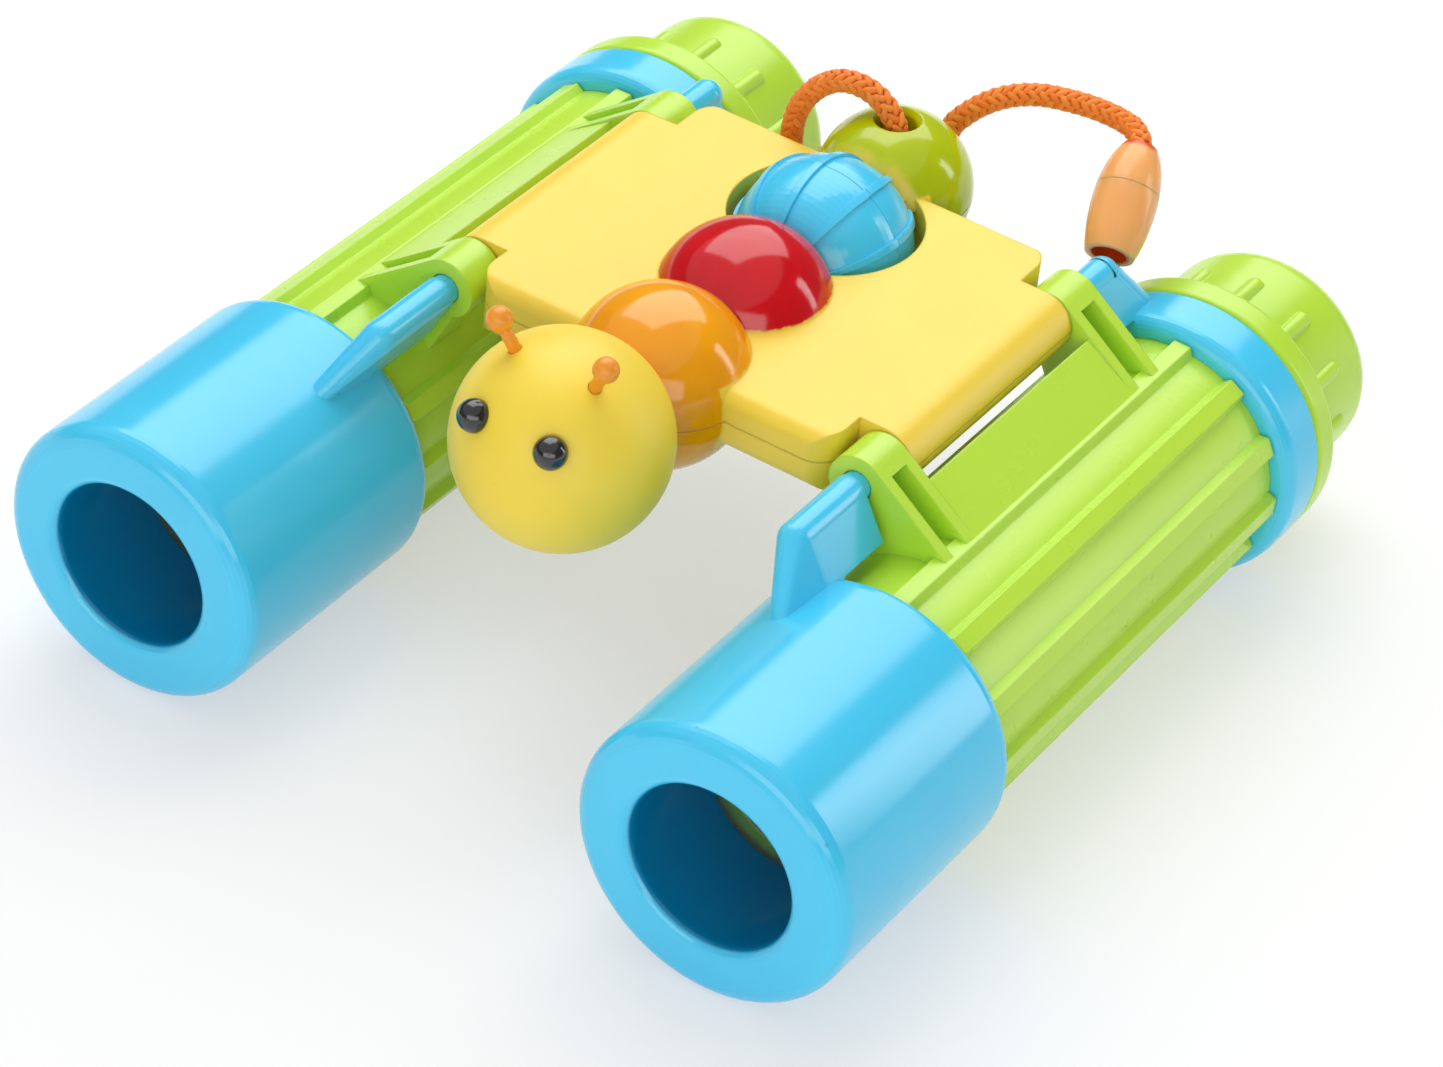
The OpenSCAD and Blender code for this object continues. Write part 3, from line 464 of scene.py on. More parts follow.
@dataclass(frozen=True)
class PaintedPlastic(MouldedPlastic):
    """Moulded plastic whose balls carry gloss paint."""

    paints: tuple[BallPaint, ...] = ()
    plate_middle: float = 0.0504
    plate_half: float = 0.0052
    plate_front: float = -0.0239
    plate_rear: float = 0.0393
    film: Span = (0.00012, 0.00004)
    feather: Span = (0.0001, 0.0006)
    ragged_size: float = 0.0016
    ragged_depth: float = 0.0009
    worn_size: float = 0.004
    worn_depth: float = 0.0035
    paint_roughness: float = 0.12
    paint_drift_size: float = 0.009

    def cover(self, graph: Graph, place: Socket, paint: BallPaint) -> Value:
        """Gives where a ball's paint lies.

        Args:
            graph: The material's graph.
            place: The surface's place.
            paint: The ball's paint.

        Returns:
            The mask of the paint.
        """
        _, y, z = graph.parts(place)
        ragged = graph.ragged(place, self.ragged_size, self.ragged_depth)
        skin = [paint.radius + rise for rise in self.film]
        on_ball = graph.distance(place, paint.centre).step(*skin)
        beyond = y - self.plate_rear if paint.faces_rear else self.plate_front - y
        clear = (abs(z - self.plate_middle) - self.plate_half).greatest(beyond) + ragged
        mask = on_ball * clear.step(*self.feather)
        if paint.bare:
            front = y + graph.ragged(place, self.worn_size, self.worn_depth)
            mask = mask * front.step(*paint.bare)
        return mask

    def tint(self, graph: Graph, place: Socket) -> Socket:
        """Gives the colour of the plastic and of its paints.

        Args:
            graph: The material's graph.
            place: The surface's place.

        Returns:
            The colour.
        """
        colour = super().tint(graph, place)
        for paint in self.paints:
            drift = graph.noise(place, self.paint_drift_size).step(*PATCH)
            coat = graph.mix(drift, paint.colour, paint.deep)
            colour = graph.mix(self.cover(graph, place, paint), colour, coat)
        return colour

    def gloss(self, graph: Graph, place: Socket) -> Operand:
        """Gives the roughness, lower where the paint lies.

        Args:
            graph: The material's graph.
            place: The surface's place.

        Returns:
            The roughness.
        """
        rough = super().gloss(graph, place)
        for paint in self.paints:
            mask = self.cover(graph, place, paint)
            rough = rough * (1 - mask) + mask * self.paint_roughness
        return rough


@dataclass(frozen=True)
class MilkyPlastic:
    """Slightly see-through moulded plastic, with painted shade: a darker colour inside a bore."""

    name: str
    colour: Colour
    # painted shade: deep is the darker colour laid inside the bore and round its mouth
    deep: Colour
    mouth: Vector
    axis: Vector
    bore: float
    bore_rim: Span = (1.22, 1.02)
    drift_size: float = 0.006
    drift_span: Span = (0.3, 0.75)
    drift_share: float = 0.6
    drift_shade: float = 0.9
    roughness: float = 0.18
    haze: float = 0.08
    haze_size: float = 0.003
    grain: float = 0.000012
    grain_size: float = 0.0009
    edge: float = 0.00025
    glow: float = 0.55
    glow_reach: float = 0.003
    glow_radii: Colour = (1.0, 0.6, 0.35)
    ior: float = 1.49

    def make(self) -> bpy.types.Material:
        """Builds the material.

        Returns:
            The material.
        """
        graph = material_graph(self.name)
        place = graph.place()
        length = graph.along(place, self.mouth, self.axis)
        reach = graph.distance(place, tuple(self.mouth))
        rim = [(self.bore * share) ** 2 for share in self.bore_rim]
        # painted shade: inside is 1 within the bore and a little beyond its rim
        inside = (reach * reach - length * length).step(*rim)
        drift = graph.noise(place, self.drift_size).step(*self.drift_span) * self.drift_share
        body = graph.mix(drift, self.colour, shaded(self.colour, self.drift_shade))
        haze = graph.noise(place, self.haze_size, Detail.MIXED) * self.haze
        relief = graph.noise(place, self.grain_size)
        return graph.surface(
            {
                "Base Color": graph.mix(inside, body, self.deep),
                "Roughness": haze + self.roughness,
                "Subsurface Weight": self.glow,
                "Subsurface Radius": self.glow_radii,
                "Subsurface Scale": self.glow_reach,
                "IOR": self.ior,
                "Normal": graph.bump(relief, self.grain, graph.rounded(self.edge)),
            }
        )


@dataclass(frozen=True)
class ClearLens:
    """Clear acrylic with faint smears."""

    name: str
    colour: Colour
    cover: float = 0.07
    roughness: float = 0.02
    smear_size: float = 0.007
    smear_span: Span = (0.45, 0.8)
    smear_share: float = 0.3
    smear_shade: float = 0.93
    smear_haze: float = 0.06
    ior: float = 1.49

    def make(self) -> bpy.types.Material:
        """Builds the material.

        Returns:
            The material.
        """
        graph = material_graph(self.name)
        smear = graph.noise(graph.place(), self.smear_size, Detail.FINE).step(*self.smear_span)
        smeared = shaded(self.colour, self.smear_shade)
        return graph.surface(
            {
                "Base Color": graph.mix(smear * self.smear_share, self.colour, smeared),
                "Roughness": smear * self.smear_haze + self.roughness,
                "Alpha": self.cover,
                "IOR": self.ior,
            }
        )


@dataclass(frozen=True)
class PlatedSteel:
    """Zinc-plated steel with turned lines and a dull bloom."""

    name: str
    colour: Colour
    roughness: float = 0.24
    bloom_size: float = 0.0015
    bloom_span: Span = (0.4, 0.7)
    bloom_shade: float = 0.75
    bloom_haze: float = 0.2
    line_scale: float = 900.0
    line_depth: float = 0.000006
    edge: float = 0.0002

    def make(self) -> bpy.types.Material:
        """Builds the material.

        Returns:
            The material.
        """
        graph = material_graph(self.name)
        place = graph.place()
        bloom = graph.noise(place, self.bloom_size, Detail.FINE)
        dull = shaded(self.colour, self.bloom_shade)
        rings = graph.node(
            "ShaderNodeTexWave",
            {"wave_type": "RINGS", "rings_direction": "Z"},
            {"Vector": place, "Scale": self.line_scale},
        )
        lines = Value(graph, rings.outputs["Fac"])
        return graph.surface(
            {
                "Base Color": graph.mix(bloom.step(*self.bloom_span), self.colour, dull),
                "Metallic": 1.0,
                "Roughness": bloom * self.bloom_haze + self.roughness,
                "Normal": graph.bump(lines, self.line_depth, graph.rounded(self.edge)),
            }
        )


@dataclass(frozen=True)
class BraidedYarn:
    """Yarn of the braid: each lobe has its tone, fine fibres run along it, and painted shade
    darkens the lobes' inner sides and the core.
    """

    name: str
    light: Colour
    warm: Colour
    dark: Colour
    fibres: float = 42.0
    fibre_twist: float = 5.0
    fibre_share: float = 0.22
    full_turn: float = 6.2832
    valley_shade: Span = (0.7, 0.25)
    roughness: float = 0.5
    fuzz: float = 0.2
    fuzz_size: float = 0.00035
    relief: float = 0.000006
    sheen: float = 0.25
    sheen_roughness: float = 0.4
    sheen_tint: Colour = (1.0, 0.75, 0.5)

    def make(self) -> bpy.types.Material:
        """Builds the material.

        Returns:
            The material.
        """
        graph = material_graph(self.name)
        tone, proud = graph.attribute("tone"), graph.attribute("proud")
        sheet = graph.node("ShaderNodeUVMap", {"uv_map": "lobe"}, {}).outputs[0]
        turn, run, _ = graph.parts(sheet)
        twist = turn * self.fibres + run * self.fibre_twist
        fibre = (twist * self.full_turn).sine() * 0.5 + 0.5
        fuzz = graph.noise(graph.place(), self.fuzz_size)
        yarn = graph.mix(tone, self.warm, self.light)
        yarn = graph.mix((1 - fibre) * self.fibre_share, yarn, self.dark)
        normal = graph.node("ShaderNodeNewGeometry", {}, {}).outputs["Normal"]
        return graph.surface(
            {
                # painted shade: low proud values, on the lobes' inner sides and on the core, turn
                # dark
                "Base Color": graph.mix(proud.step(*self.valley_shade), yarn, self.dark),
                "Roughness": fuzz * self.fuzz + self.roughness,
                "Sheen Weight": self.sheen,
                "Sheen Roughness": self.sheen_roughness,
                "Sheen Tint": self.sheen_tint,
                "Normal": graph.bump(fibre + fuzz, self.relief, normal),
            }
        )


@dataclass(frozen=True)
class ElasticBand:
    """Matt rubber with a stretched, dusty surface."""

    name: str
    colour: Colour
    roughness: float = 0.6
    dust_size: float = 0.002
    dust_span: Span = (0.45, 0.75)
    dust_gain: float = 1.7
    dust_lift: float = 0.02
    dust_haze: float = 0.2
    grain: float = 0.00003
    grain_size: float = 0.0005
    edge: float = 0.00015

    def make(self) -> bpy.types.Material:
        """Builds the material.

        Returns:
            The material.
        """
        graph = material_graph(self.name)
        place = graph.place()
        dust = graph.noise(place, self.dust_size, Detail.FINE)
        dusty = tuple(x * self.dust_gain + self.dust_lift for x in self.colour)
        relief = graph.noise(place, self.grain_size, Detail.MIXED)
        return graph.surface(
            {
                "Base Color": graph.mix(dust.step(*self.dust_span), self.colour, dusty),
                "Roughness": dust * self.dust_haze + self.roughness,
                "Normal": graph.bump(relief, self.grain, graph.rounded(self.edge)),
            }
        )


class Finish(Enum):
    """The finishes of the pieces."""

    YELLOW = "yellow_plastic"
    HEAD = "head_plastic"
    GREEN = "green_plastic"
    TUBE = "tube_plastic"
    BLUE = "blue_plastic"
    HOOD = "hood_plastic"
    ORANGE = "orange_plastic"
    BLACK = "black_plastic"
    BEAD = "bead_plastic"
    LENS = "lens"
    STEEL = "steel"
    CORD = "cord"
    TIE = "tie"


class Finishes:
    """Makes each finish once and lays it on pieces."""

    def __init__(self, bead_mouth: Vector, bead_axis: Vector, bead_bore: float) -> None:
        """Makes the materials.

        Args:
            bead_mouth: Middle of the bead's open mouth.
            bead_axis: Direction from the mouth to the bead's other end.
            bead_bore: Radius of the bead's bore.
        """
        orange = BallPaint(
            centre=(0.0, -0.0205, 0.0504), radius=0.0144,
            colour=srgb(250, 168, 0), deep=srgb(244, 158, 0),
        )
        red = BallPaint(
            centre=(0.0, 0.0018, 0.0504), radius=0.0144,
            colour=srgb(208, 2, 20), deep=srgb(198, 0, 16),
        )
        lime = BallPaint(
            centre=(-0.0006, 0.0456, 0.0504), radius=0.0128,
            colour=srgb(188, 204, 0), deep=srgb(178, 195, 0),
            faces_rear=True, bare=(0.0362, 0.0388),
        )
        blue = {
            "colour": srgb(74, 205, 245), "drift": srgb(64, 198, 241),
            "roughness": 0.18, "edge": 0.00015,
        }
        makers = {
            Finish.YELLOW: PaintedPlastic(
                "yellow_plastic", srgb(246, 214, 70), srgb(243, 208, 60),
                roughness=0.38, specks=0.0, edge=0.0006, paints=(orange, red, lime),
            ),
            Finish.HEAD: MouldedPlastic(
                "head_plastic", srgb(247, 218, 66), srgb(244, 211, 58), roughness=0.46, specks=0.0
            ),
            Finish.GREEN: MouldedPlastic(
                "green_plastic", srgb(188, 229, 64), srgb(182, 224, 56), roughness=0.26, specks=0.0
            ),
            # painted shade: the tube's deep green darkens the wall of its bore
            Finish.TUBE: BarrelPlastic(
                "tube_plastic", srgb(190, 230, 66), srgb(184, 225, 58),
                roughness=0.28, specks=0.0, deep=srgb(84, 148, 6), bore=0.0173,
            ),
            Finish.BLUE: MouldedPlastic("blue_plastic", **blue),
            # painted shade: the hood's deep blue darkens the wall of its bore
            Finish.HOOD: BarrelPlastic("hood_plastic", **blue, deep=srgb(2, 128, 176)),
            Finish.ORANGE: MouldedPlastic(
                "orange_plastic", srgb(240, 152, 30), srgb(232, 140, 20), roughness=0.3, specks=0.0
            ),
            Finish.BLACK: MouldedPlastic(
                "black_plastic", (0.012, 0.012, 0.013), (0.018, 0.018, 0.02),
                roughness=0.14, specks=0.0, glow=0.0, coat=0.5,
            ),
            # painted shade: the second colour darkens the bead's bore and mouth
            Finish.BEAD: MilkyPlastic(
                "bead_plastic", srgb(255, 178, 106), srgb(222, 84, 24),
                bead_mouth, bead_axis, bead_bore,
            ),
            Finish.LENS: ClearLens("lens", (0.92, 0.97, 0.98)),
            Finish.STEEL: PlatedSteel("steel", (0.62, 0.63, 0.65)),
            # the third colour serves the fibre lines and the painted shade in the braid's valleys
            # and on its core
            Finish.CORD: BraidedYarn(
                "cord", srgb(255, 152, 50), srgb(247, 124, 16), srgb(206, 80, 2)
            ),
            Finish.TIE: ElasticBand("tie", (0.03, 0.03, 0.032)),
        }
        self.materials = {finish: maker.make() for finish, maker in makers.items()}

    def lay(self, piece: bpy.types.Object, finish: Finish) -> None:
        """Puts a finish on a piece.

        Args:
            piece: The piece.
            finish: Its finish.
        """
        piece.data.materials.clear()
        piece.data.materials.append(self.materials[finish])

    def dress(self, node: str, finish: Finish) -> None:
        """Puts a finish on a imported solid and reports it.

        Args:
            node: The solid's name.
            finish: Its finish.
        """
        self.lay(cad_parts[node], finish)
        LOG.info("%s is finished in %s", node, finish.value)


# ---------------------------------------------------------------------------
# Sub-assemblies


class Side(Enum):
    """The two barrels."""

    LEFT = "left"
    RIGHT = "right"


@dataclass
class Barrel:
    """One barrel: tube, hood, band, eyepiece and two lenses."""

    side: Side
    pieces: dict[str, Finish] = field(
        default_factory=lambda: {
            "tube": Finish.TUBE,
            "hood": Finish.HOOD,
            "band": Finish.BLUE,
            "eyepiece": Finish.GREEN,
            "objective_lens": Finish.LENS,
            "eye_lens": Finish.LENS,
        }
    )

    def dress(self, finishes: Finishes) -> None:
        """Finishes the barrel's pieces."""
        for piece, finish in self.pieces.items():
            finishes.dress(f"{self.side.value}_{piece}", finish)


@dataclass
class Bridge:
    """The bridge's shells, screws, head and wheel."""

    pieces: dict[str, Finish] = field(
        default_factory=lambda: {
            "bridge_top_shell": Finish.YELLOW,
            "bridge_bottom_shell": Finish.YELLOW,
            "bridge_screws": Finish.STEEL,
            "head": Finish.HEAD,
            "bead_eyes": Finish.BLACK,
            "antennae": Finish.ORANGE,
            "focus_wheel_front": Finish.BLUE,
            "focus_wheel_rear": Finish.BLUE,
            "wheel_axle": Finish.STEEL,
        }
    )

    def dress(self, finishes: Finishes) -> None:
        """Finishes the bridge's pieces."""
        for piece, finish in self.pieces.items():
            finishes.dress(piece, finish)


@dataclass
class Clasp:
    """The breakaway clasp: a bead in two halves and its plug."""

    mouth: Vector = field(default_factory=lambda: Vector((35.5, 52.5, 49.8)) * MM)
    top: Vector = field(default_factory=lambda: Vector((30.75, 67.7, 60.25)) * MM)
    bore: float = 2.9 * MM

    def axis(self) -> Vector:
        """Gives the direction from the mouth to the cord's end."""
        return (self.top - self.mouth).normalized()

    def dress(self, finishes: Finishes) -> None:
        """Finishes the clasp's pieces."""
        for node in ("clasp_bead_body", "clasp_bead_cap", "clasp_plug"):
            finishes.dress(node, Finish.BEAD)


class Route:
    """A cord's centreline, evenly spaced, with a frame at each point."""

    def __init__(self, points: Iterable[Sequence[float]], step: float) -> None:
        """Smooths the points and spaces them.

        Args:
            points: Points in metres that the line goes through.
            step: Distance between the spaced points.
        """
        rough = [Vector(p) for p in points]
        shares = [k / SPLINE_STEPS for k in range(SPLINE_STEPS)]
        fine = [self._between(rough, i, u) for i in range(len(rough) - 1) for u in shares]
        fine.append(rough[-1])
        self.line = self._spaced(fine, step)
        self.length = sum((b - a).length for a, b in zip(self.line, self.line[1:]))
        self.frames = self._frames()

    @staticmethod
    def _between(p: list[Vector], i: int, u: float) -> Vector:
        """Gives a point on the smooth curve.

        Args:
            p: The points.
            i: The stretch between two points.
            u: Share of that stretch.

        Returns:
            The point.
        """
        a, b, c, d = p[max(i - 1, 0)], p[i], p[i + 1], p[min(i + 2, len(p) - 1)]
        bend, twist = 2 * a - 5 * b + 4 * c - d, 3 * b - a - 3 * c + d
        return 0.5 * (2 * b + (c - a) * u + bend * u * u + twist * u**3)

    @staticmethod
    def _spaced(fine: list[Vector], step: float) -> list[Vector]:
        """Spaces points evenly.

        Args:
            fine: Close points on the line.
            step: Wanted distance.

        Returns:
            The spaced points.
        """
        total = sum((b - a).length for a, b in zip(fine, fine[1:]))
        count = max(2, round(total / step))
        wanted, made, run = [total * k / count for k in range(1, count)], [fine[0].copy()], 0.0
        for a, b in zip(fine, fine[1:]):
            span = (b - a).length
            while wanted and span > 0 and wanted[0] <= run + span:
                made.append(a.lerp(b, (wanted.pop(0) - run) / span))
            run += span
        return made + [fine[-1].copy()]

    def _frames(self) -> list[tuple[Vector, Vector, Vector]]:
        """Carries a frame along the line without twist.

        Returns:
            Heading and two sides at each point.
        """
        side, made, last = Vector(FIRST_SIDE), [], len(self.line) - 1
        for i in range(last + 1):
            heading = (self.line[min(i + 1, last)] - self.line[max(i - 1, 0)]).normalized()
            side = (side - heading * side.dot(heading)).normalized()
            made.append((heading, side, heading.cross(side)))
        return made


@dataclass
class NeckCord:
    """The neck cord: strand A with its tied hank and plug, strand B with the bead, and the tie.

    The hank's fold is in diameters, and its end rises between two shares of the last run.
    """

    diameter: float = 3.9 * MM
    columns: int = 8
    pitch: float = 1.72 * MM
    slant: float = 38.0
    lobe_half: tuple[float, float, float] = (0.66 * MM, 0.56 * MM, 1.3 * MM)
    lobe_segments: tuple[int, int] = (8, 6)
    tone_steps: tuple[float, float, float] = (2.399, 4.1, 0.37)
    core: float = 1.42 * MM
    core_resolution: int = 2
    hank_fold: float = 3.0
    hank_run: float = 44 * MM
    hank_layer: float = 4.6 * MM
    hank_draw: float = 9.3 * MM
    hank_lift: float = 0.8 * MM
    hank_end_lift: float = 2.2 * MM
    hank_end_from: float = 0.55
    hank_end_over: float = 0.2
    hank_turns: float = 1.2
    hank_rings: int = 48
    hank_ease: float = 0.44
    exit_a: Point = (-0.0014, 0.0454, 0.0622)
    exit_b: Point = (-0.0014, 0.0456, 0.0378)

    def strand_a(self) -> list[Vector]:
        """Gives strand A's route, from inside the tail to the hank.

        Returns:
            The points that the strand goes through.
        """
        points = (
            (-1.4, 45.6, 50.4), (-1.4, 45.6, 53), (-1.4, 45.6, 55.6), (-0.9, 45.5, 59.4),
            (-1.9, 45.3, 62.6), (-4.4, 45.2, 64.9), (-7.4, 45.2, 65.9), (-11.4, 45.2, 65.5),
            (-14.7, 45.2, 63.5), (-17.1, 45.2, 60.9), (-18.9, 45.2, 57.6), (-19.8, 45.2, 53.8),
            (-19.8, 45.2, 50), (-18.8, 45, 45), (-16.6, 44.8, 40.4), (-13.4, 44.8, 36),
            (-10.4, 45, 31), (-8.2, 45.8, 25), (-6.8, 47, 18), (-5.6, 49.4, 11),
            (-4.2, 53.6, 5.4), (-2.6, 59.4, 2.6), (-1, 66, 2.1), (-0.4, 73, 2.1),
            (-1.4, 79.6, 2.1), (-5.2, 84.4, 2.1), (-11, 86.3, 2.1), (-18, 86.4, 2.1),
            (-28, 86.4, 2.1),
        )
        return [Vector(p) * MM for p in points]

    def strand_b(self) -> list[Vector]:
        """Gives strand B's route, from inside the tail to the bead.

        Returns:
            The points that the strand goes through.
        """
        points = (
            (-1.4, 45.6, 50.4), (-1.4, 45.6, 44), (-1.4, 45.6, 38), (-1.4, 46.4, 34),
            (-1.4, 49, 30.8), (-1.4, 53, 29.2), (-1.4, 57.4, 30), (-1.4, 60.8, 33.4),
            (-1.6, 62.6, 39), (-1.8, 63.2, 46), (-1.3, 63.6, 51.6), (0.8, 64.6, 55),
            (3.6, 65.6, 57.8), (6.6, 66.6, 59.8), (9.6, 67.6, 61), (12.6, 68.6, 61.6),
            (15.8, 69.4, 61.8), (19, 70.2, 61.8), (22.4, 70.8, 61.6), (25.8, 71, 61.2),
            (28.5, 70.2, 60.9), (30.75, 67.7, 60.25), (31.25, 66.1, 59.15), (31.75, 64.5, 58.05),
        )
        return [Vector(p) * MM for p in points]

    def hank(self, start: Vector) -> list[Vector]:
        """Gives the hank's route: near run, left fold, far run, right fold, and on upwards.

        Args:
            start: The end of strand A.

        Returns:
            Points from the hank's start to the plug.
        """
        fold = self.hank_fold * self.diameter
        half = self.hank_run / 2
        middle = Vector((start.x - self.diameter - half, start.y + fold, start.z))

        def eased(u: float) -> float:
            """Rises smoothly from 0 to 1."""
            return (1 - math.cos(math.pi * min(1.0, max(0.0, u)))) / 2

        def at(t: float) -> Vector:
            """Gives a point of the hank.

            Args:
                t: How many runs and folds come before the point.

            Returns:
                The point, from the hank's middle.
            """
            turn, p = int(t // HANK_LEGS), t % HANK_LEGS
            u = p - math.floor(p)
            dip = eased(min(u, 1 - u) / self.hank_ease)
            low, aside = self.hank_layer * turn, fold - self.hank_draw * dip
            swing, sway = fold * math.sin(math.pi * u), fold * math.cos(math.pi * u)
            if p < 1:
                rise = eased((u - self.hank_end_from) / self.hank_end_over) if turn else 0.0
                high = low + self.hank_lift * dip + self.hank_end_lift * rise
                return Vector((self.hank_run * (0.5 - u), -aside, high))
            if p < 2:
                return Vector((-half - swing, -sway, low))
            if p < 3:
                high = low + self.hank_layer * eased(u) + self.hank_lift * dip
                return Vector((self.hank_run * (u - 0.5), aside, high))
            return Vector((half + swing, sway, low + self.hank_layer))

        rings, legs = self.hank_rings, HANK_LEGS * self.hank_turns
        made = [middle + at(legs * i / rings) for i in range(rings + 1)]
        return made + [made[-1] + (made[-1] - made[-2]).normalized() * self.diameter]

    def _row(self, route: Route, row: int, mesh: bpy.types.Mesh) -> None:
        """Builds one row of lobes round the core.

        Args:
            route: The cord's centreline.
            row: The point of the line that carries the row.
            mesh: The mesh that the row is written to.
        """
        bm = bmesh.new()
        tone, proud = (bm.verts.layers.float.new(name) for name in ("tone", "proud"))
        bm.loops.layers.uv.new("lobe")
        wide, high, long = self.lobe_half
        reach = self.diameter / 2 - high
        by_row, by_column, slow = self.tone_steps
        heading, side, other = route.frames[row]
        for column in range(self.columns):
            turn = 2 * math.pi * column / self.columns
            out = side * math.cos(turn) + other * math.sin(turn)
            lean = math.radians(self.slant if column % 2 else -self.slant)
            along = Matrix.Rotation(lean, 3, out) @ heading
            middle = route.line[row].lerp(route.line[row + 1], 0.5 * (column % 2))
            centre = middle + out * reach
            basis = Matrix((along.cross(out) * wide, out * high, along * long)).transposed()
            made = bmesh.ops.create_uvsphere(
                bm, u_segments=self.lobe_segments[0], v_segments=self.lobe_segments[1], radius=1.0,
                matrix=Matrix.Translation(centre) @ basis.to_4x4(), calc_uvs=True,
            )
            wave = math.sin(row * by_row + column * by_column) * math.cos(row * slow + column)
            shade = 0.5 + 0.5 * wave
            for vertex in made["verts"]:
                vertex[tone] = shade
                # proud runs from 0 on a lobe's inner side to 1 on its outer side; the yarn paints
                # shade where it is low
                vertex[proud] = (vertex.co - centre).dot(out) / high * 0.5 + 0.5
        bm.to_mesh(mesh)
        bm.free()

    def braid(self, name: str, route: Route) -> bpy.types.Object:
        """Builds a braided cord: a core, coloured dark by the yarn's painted shade, under columns
        of slanting lobes.

        Args:
            name: The piece's name.
            route: The cord's centreline.

        Returns:
            The piece.
        """
        curve = bpy.data.curves.new(name + "_core", "CURVE")
        curve.dimensions, curve.use_fill_caps = "3D", True
        curve.bevel_depth, curve.bevel_resolution = self.core, self.core_resolution
        spline = curve.splines.new("POLY")
        spline.points.add(len(route.line) - 1)
        for point, place in zip(spline.points, route.line):
            point.co = (*place, 1.0)
        holder = bpy.data.objects.new(name + "_core", curve)
        bm = bmesh.new()
        bm.from_mesh(holder.to_mesh())
        bpy.data.objects.remove(holder)
        bpy.data.curves.remove(curve)
        row_mesh = bpy.data.meshes.new(name + "_row")
        for row in range(1, len(route.line) - 1):
            self._row(route, row, row_mesh)
            bm.from_mesh(row_mesh)
        bpy.data.meshes.remove(row_mesh)
        for face in bm.faces:
            face.smooth = True
        mesh = bpy.data.meshes.new(name)
        bm.to_mesh(mesh)
        bm.free()
        piece = bpy.data.objects.new(name, mesh)
        bpy.context.scene.collection.objects.link(piece)
        return piece

    def build(self, finishes: Finishes) -> None:
        """Args:
            finishes: The finishes that are laid on the cord and its tie.
        """
        start = self.strand_a()
        long_route = Route(start + self.hank(start[-1])[1:], self.pitch)
        short_route = Route(self.strand_b(), self.pitch)
        long_cord = self.braid("neck_cord_long", long_route)
        short_cord = self.braid("neck_cord_short", short_route)
        for piece in (long_cord, short_cord):
            finishes.lay(piece, Finish.CORD)
            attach(piece, "bridge")
        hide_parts("cord_strand_a", "cord_hank")
        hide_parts("cord_strand_b")
        finishes.dress("cord_tie", Finish.TIE)
        for cord, route in ((long_cord, long_route), (short_cord, short_route)):
            LOG.info("%s is %.3f m long", cord.name, route.length)


# ---------------------------------------------------------------------------
# Studio


@dataclass(frozen=True)
class SoftBox:
    """A soft lamp that looks at a point."""

    name: str
    place: Point
    aim: Point
    width: float
    depth: float
    power: float
    turn: float = 0.0

    def build(self) -> None:
        """Adds the lamp."""
        lamp = bpy.data.lights.new(self.name, "AREA")
        lamp.shape, lamp.size, lamp.size_y = "RECTANGLE", self.width, self.depth
        lamp.energy = self.power
        holder = bpy.data.objects.new(self.name, lamp)
        look = (Vector(self.aim) - Vector(self.place)).to_track_quat("-Z", "Y").to_matrix()
        spun = look @ Matrix.Rotation(math.radians(self.turn), 3, "Z")
        holder.matrix_world = Matrix.Translation(self.place) @ spun.to_4x4()
        bpy.context.scene.collection.objects.link(holder)


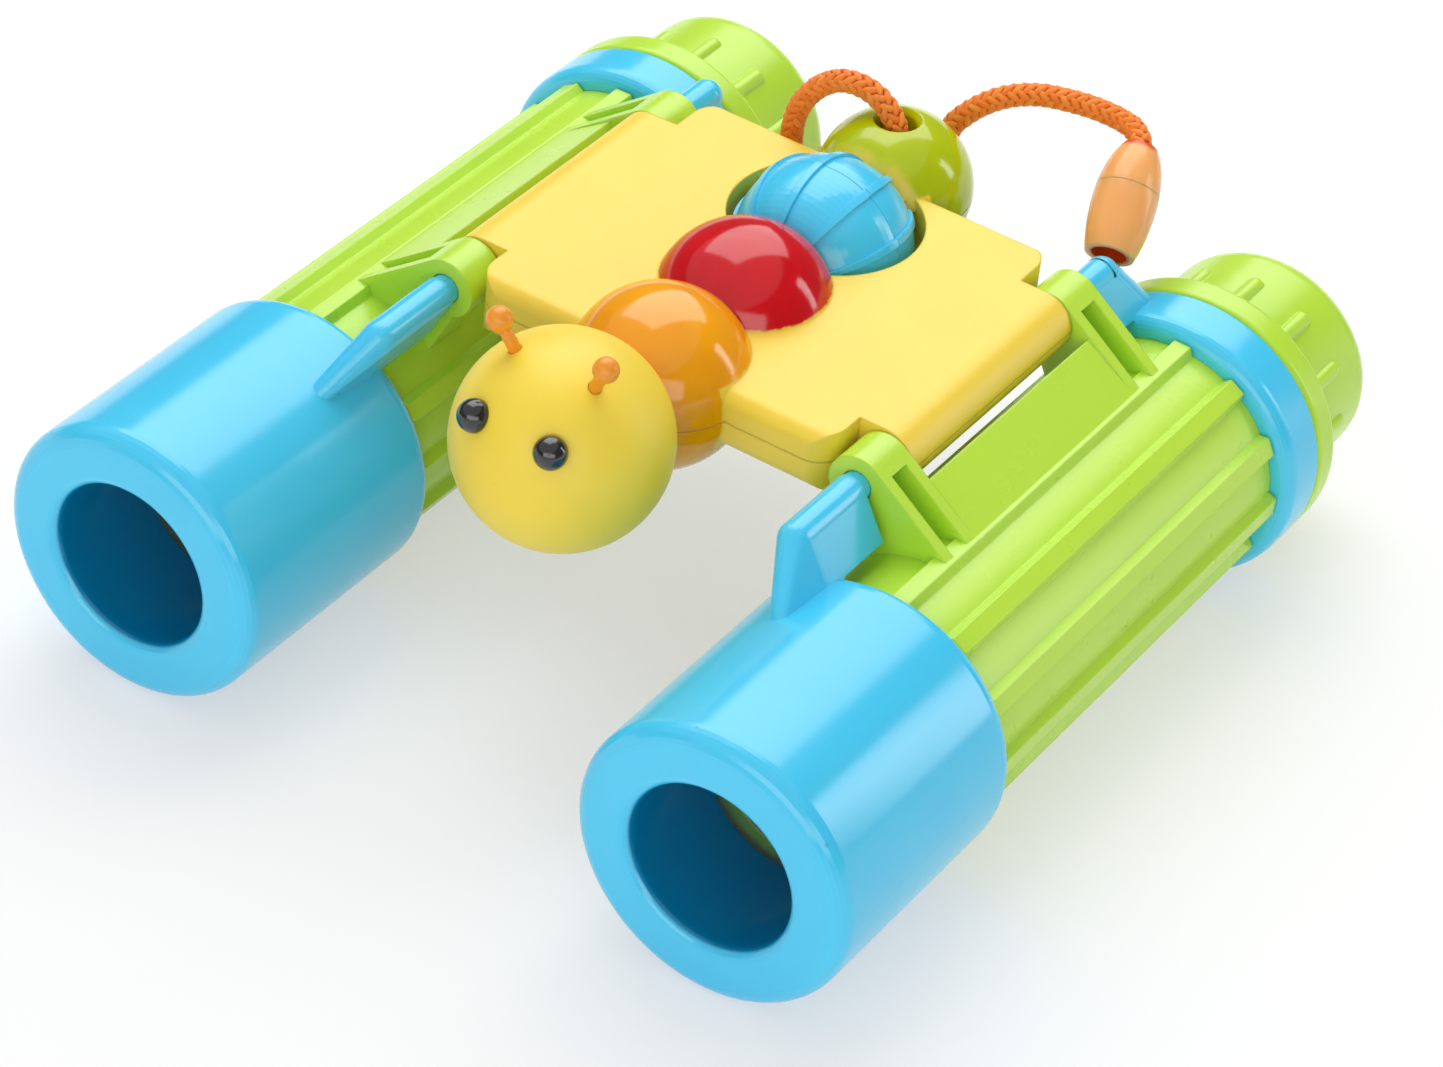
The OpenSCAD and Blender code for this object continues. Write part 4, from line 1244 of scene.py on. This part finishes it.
@dataclass
class Studio:
    """Camera, floor, lamps and surroundings."""

    eye: Point = (0.3129, -0.5309, 0.4925)
    right: Point = (0.82739, 0.55450, 0.08921)
    up: Point = (-0.40344, 0.47630, 0.78126)
    lens: float = 123.9
    sensor: float = 36.0
    shift: Span = (-0.0281, 0.0008)
    clip: Span = (0.05, 50.0)
    floor_half: float = 4.0
    floor_white: float = 0.5
    floor_fade: Span = (0.26, 0.75)
    paper_size: float = 0.4
    paper_tones: Span = (0.93, 0.95)
    fill: float = 0.16
    sky: float = 0.95
    sky_angle: float = 110.0
    sky_towards: Point = (-0.2, -0.17, 0.95)
    boxes: tuple[SoftBox, ...] = (
        SoftBox(
            "overhead", place=(-0.27, 0.4, 0.68), aim=(0.0, 0.0, 0.04),
            width=1.0, depth=0.75, power=6.0, turn=34.0,
        ),
        SoftBox(
            "front", place=(0.42, -0.95, 0.4), aim=(0.0, 0.0, 0.04),
            width=1.6, depth=0.5, power=5.6,
        ),
        SoftBox(
            "strip", place=(0.74, 0.66, 0.34), aim=(0.03, 0.0, 0.04),
            width=0.16, depth=0.6, power=1.3,
        ),
    )

    def camera(self) -> None:
        """Adds the camera at the photograph's viewing angle."""
        data = bpy.data.cameras.new("camera")
        data.sensor_fit, data.sensor_width, data.lens = "HORIZONTAL", self.sensor, self.lens
        data.shift_x, data.shift_y = self.shift
        data.clip_start, data.clip_end = self.clip
        holder = bpy.data.objects.new("camera", data)
        right, up = Vector(self.right).normalized(), Vector(self.up)
        back = right.cross(up).normalized()
        turned = Matrix((right, back.cross(right), back)).transposed()
        holder.matrix_world = Matrix.Translation(self.eye) @ turned.to_4x4()
        bpy.context.scene.collection.objects.link(holder)
        bpy.context.scene.camera = holder

    def floor(self) -> None:
        """Adds the plain pale floor, which shows white and keeps the object's shadow."""
        bm = bmesh.new()
        bmesh.ops.create_grid(bm, x_segments=1, y_segments=1, size=self.floor_half)
        mesh = bpy.data.meshes.new("floor")
        bm.to_mesh(mesh)
        bm.free()
        piece = bpy.data.objects.new("floor", mesh)
        bpy.context.scene.collection.objects.link(piece)
        graph = material_graph("floor")
        place = graph.place()
        dark, light = (shaded(WHITE, tone) for tone in self.paper_tones)
        paper = graph.mix(graph.noise(place, self.paper_size, Detail.SMOOTH), dark, light)
        matt = graph.node("ShaderNodeBsdfDiffuse", {}, {"Color": paper})
        white = graph.node("ShaderNodeEmission", {}, {"Color": WHITE, "Strength": 1.0})
        far = graph.distance(place, (0.0, 0.0, 0.0)).step(*self.floor_fade)
        share = self._seen(graph) * (far * (1 - self.floor_white) + self.floor_white)
        mixed = graph.node(
            "ShaderNodeMixShader", {}, {0: share, 1: matt.outputs[0], 2: white.outputs[0]}
        )
        graph.node("ShaderNodeOutputMaterial", {}, {"Surface": mixed.outputs[0]})
        piece.data.materials.append(graph.owner)

    @staticmethod
    def _seen(graph: Graph) -> Value:
        """Finds the rays that see the floor's white.

        Args:
            graph: The floor's graph.

        Returns:
            1 on rays from the camera, in reflections and through glass, or else 0.
        """
        path = graph.node("ShaderNodeLightPath", {}, {})
        camera, glossy, through = (
            Value(graph, path.outputs[name])
            for name in ("Is Camera Ray", "Is Glossy Ray", "Is Transmission Ray")
        )
        return camera.greatest(glossy).greatest(through)

    def surroundings(self) -> None:
        """Sets an even white fill, which shows as a white background."""
        graph = Graph(bpy.data.worlds.new("studio"))
        seen = graph.node("ShaderNodeLightPath", {}, {}).outputs["Is Camera Ray"]
        fill, back = (
            graph.node("ShaderNodeBackground", {}, {"Color": WHITE, "Strength": strength})
            for strength in (self.fill, 1.0)
        )
        mixed = graph.node(
            "ShaderNodeMixShader", {}, {0: seen, 1: fill.outputs[0], 2: back.outputs[0]}
        )
        graph.node("ShaderNodeOutputWorld", {}, {"Surface": mixed.outputs[0]})
        bpy.context.scene.world = graph.owner

    def lamps(self) -> None:
        """Adds the soft boxes and the broad soft sky."""
        for box in self.boxes:
            box.build()
        sky = bpy.data.lights.new("sky", "SUN")
        sky.energy, sky.angle = self.sky, math.radians(self.sky_angle)
        holder = bpy.data.objects.new("sky", sky)
        holder.rotation_euler = Vector(self.sky_towards).to_track_quat("Z", "Y").to_euler()
        bpy.context.scene.collection.objects.link(holder)

    def build(self) -> None:
        """Sets the studio up."""
        bpy.context.scene.view_settings.view_transform = "Standard"
        self.camera()
        self.floor()
        self.surroundings()
        self.lamps()


def main() -> None:
    """Builds the looks in order and reports each piece."""
    logging.basicConfig(level=logging.INFO, format="%(message)s")
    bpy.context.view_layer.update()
    clasp = Clasp()
    Studio().build()
    finishes = Finishes(clasp.mouth, clasp.axis(), clasp.bore)
    NeckCord().build(finishes)
    clasp.dress(finishes)
    Bridge().dress(finishes)
    for side in Side:
        Barrel(side).dress(finishes)


if __name__ == "__main__":
    main()
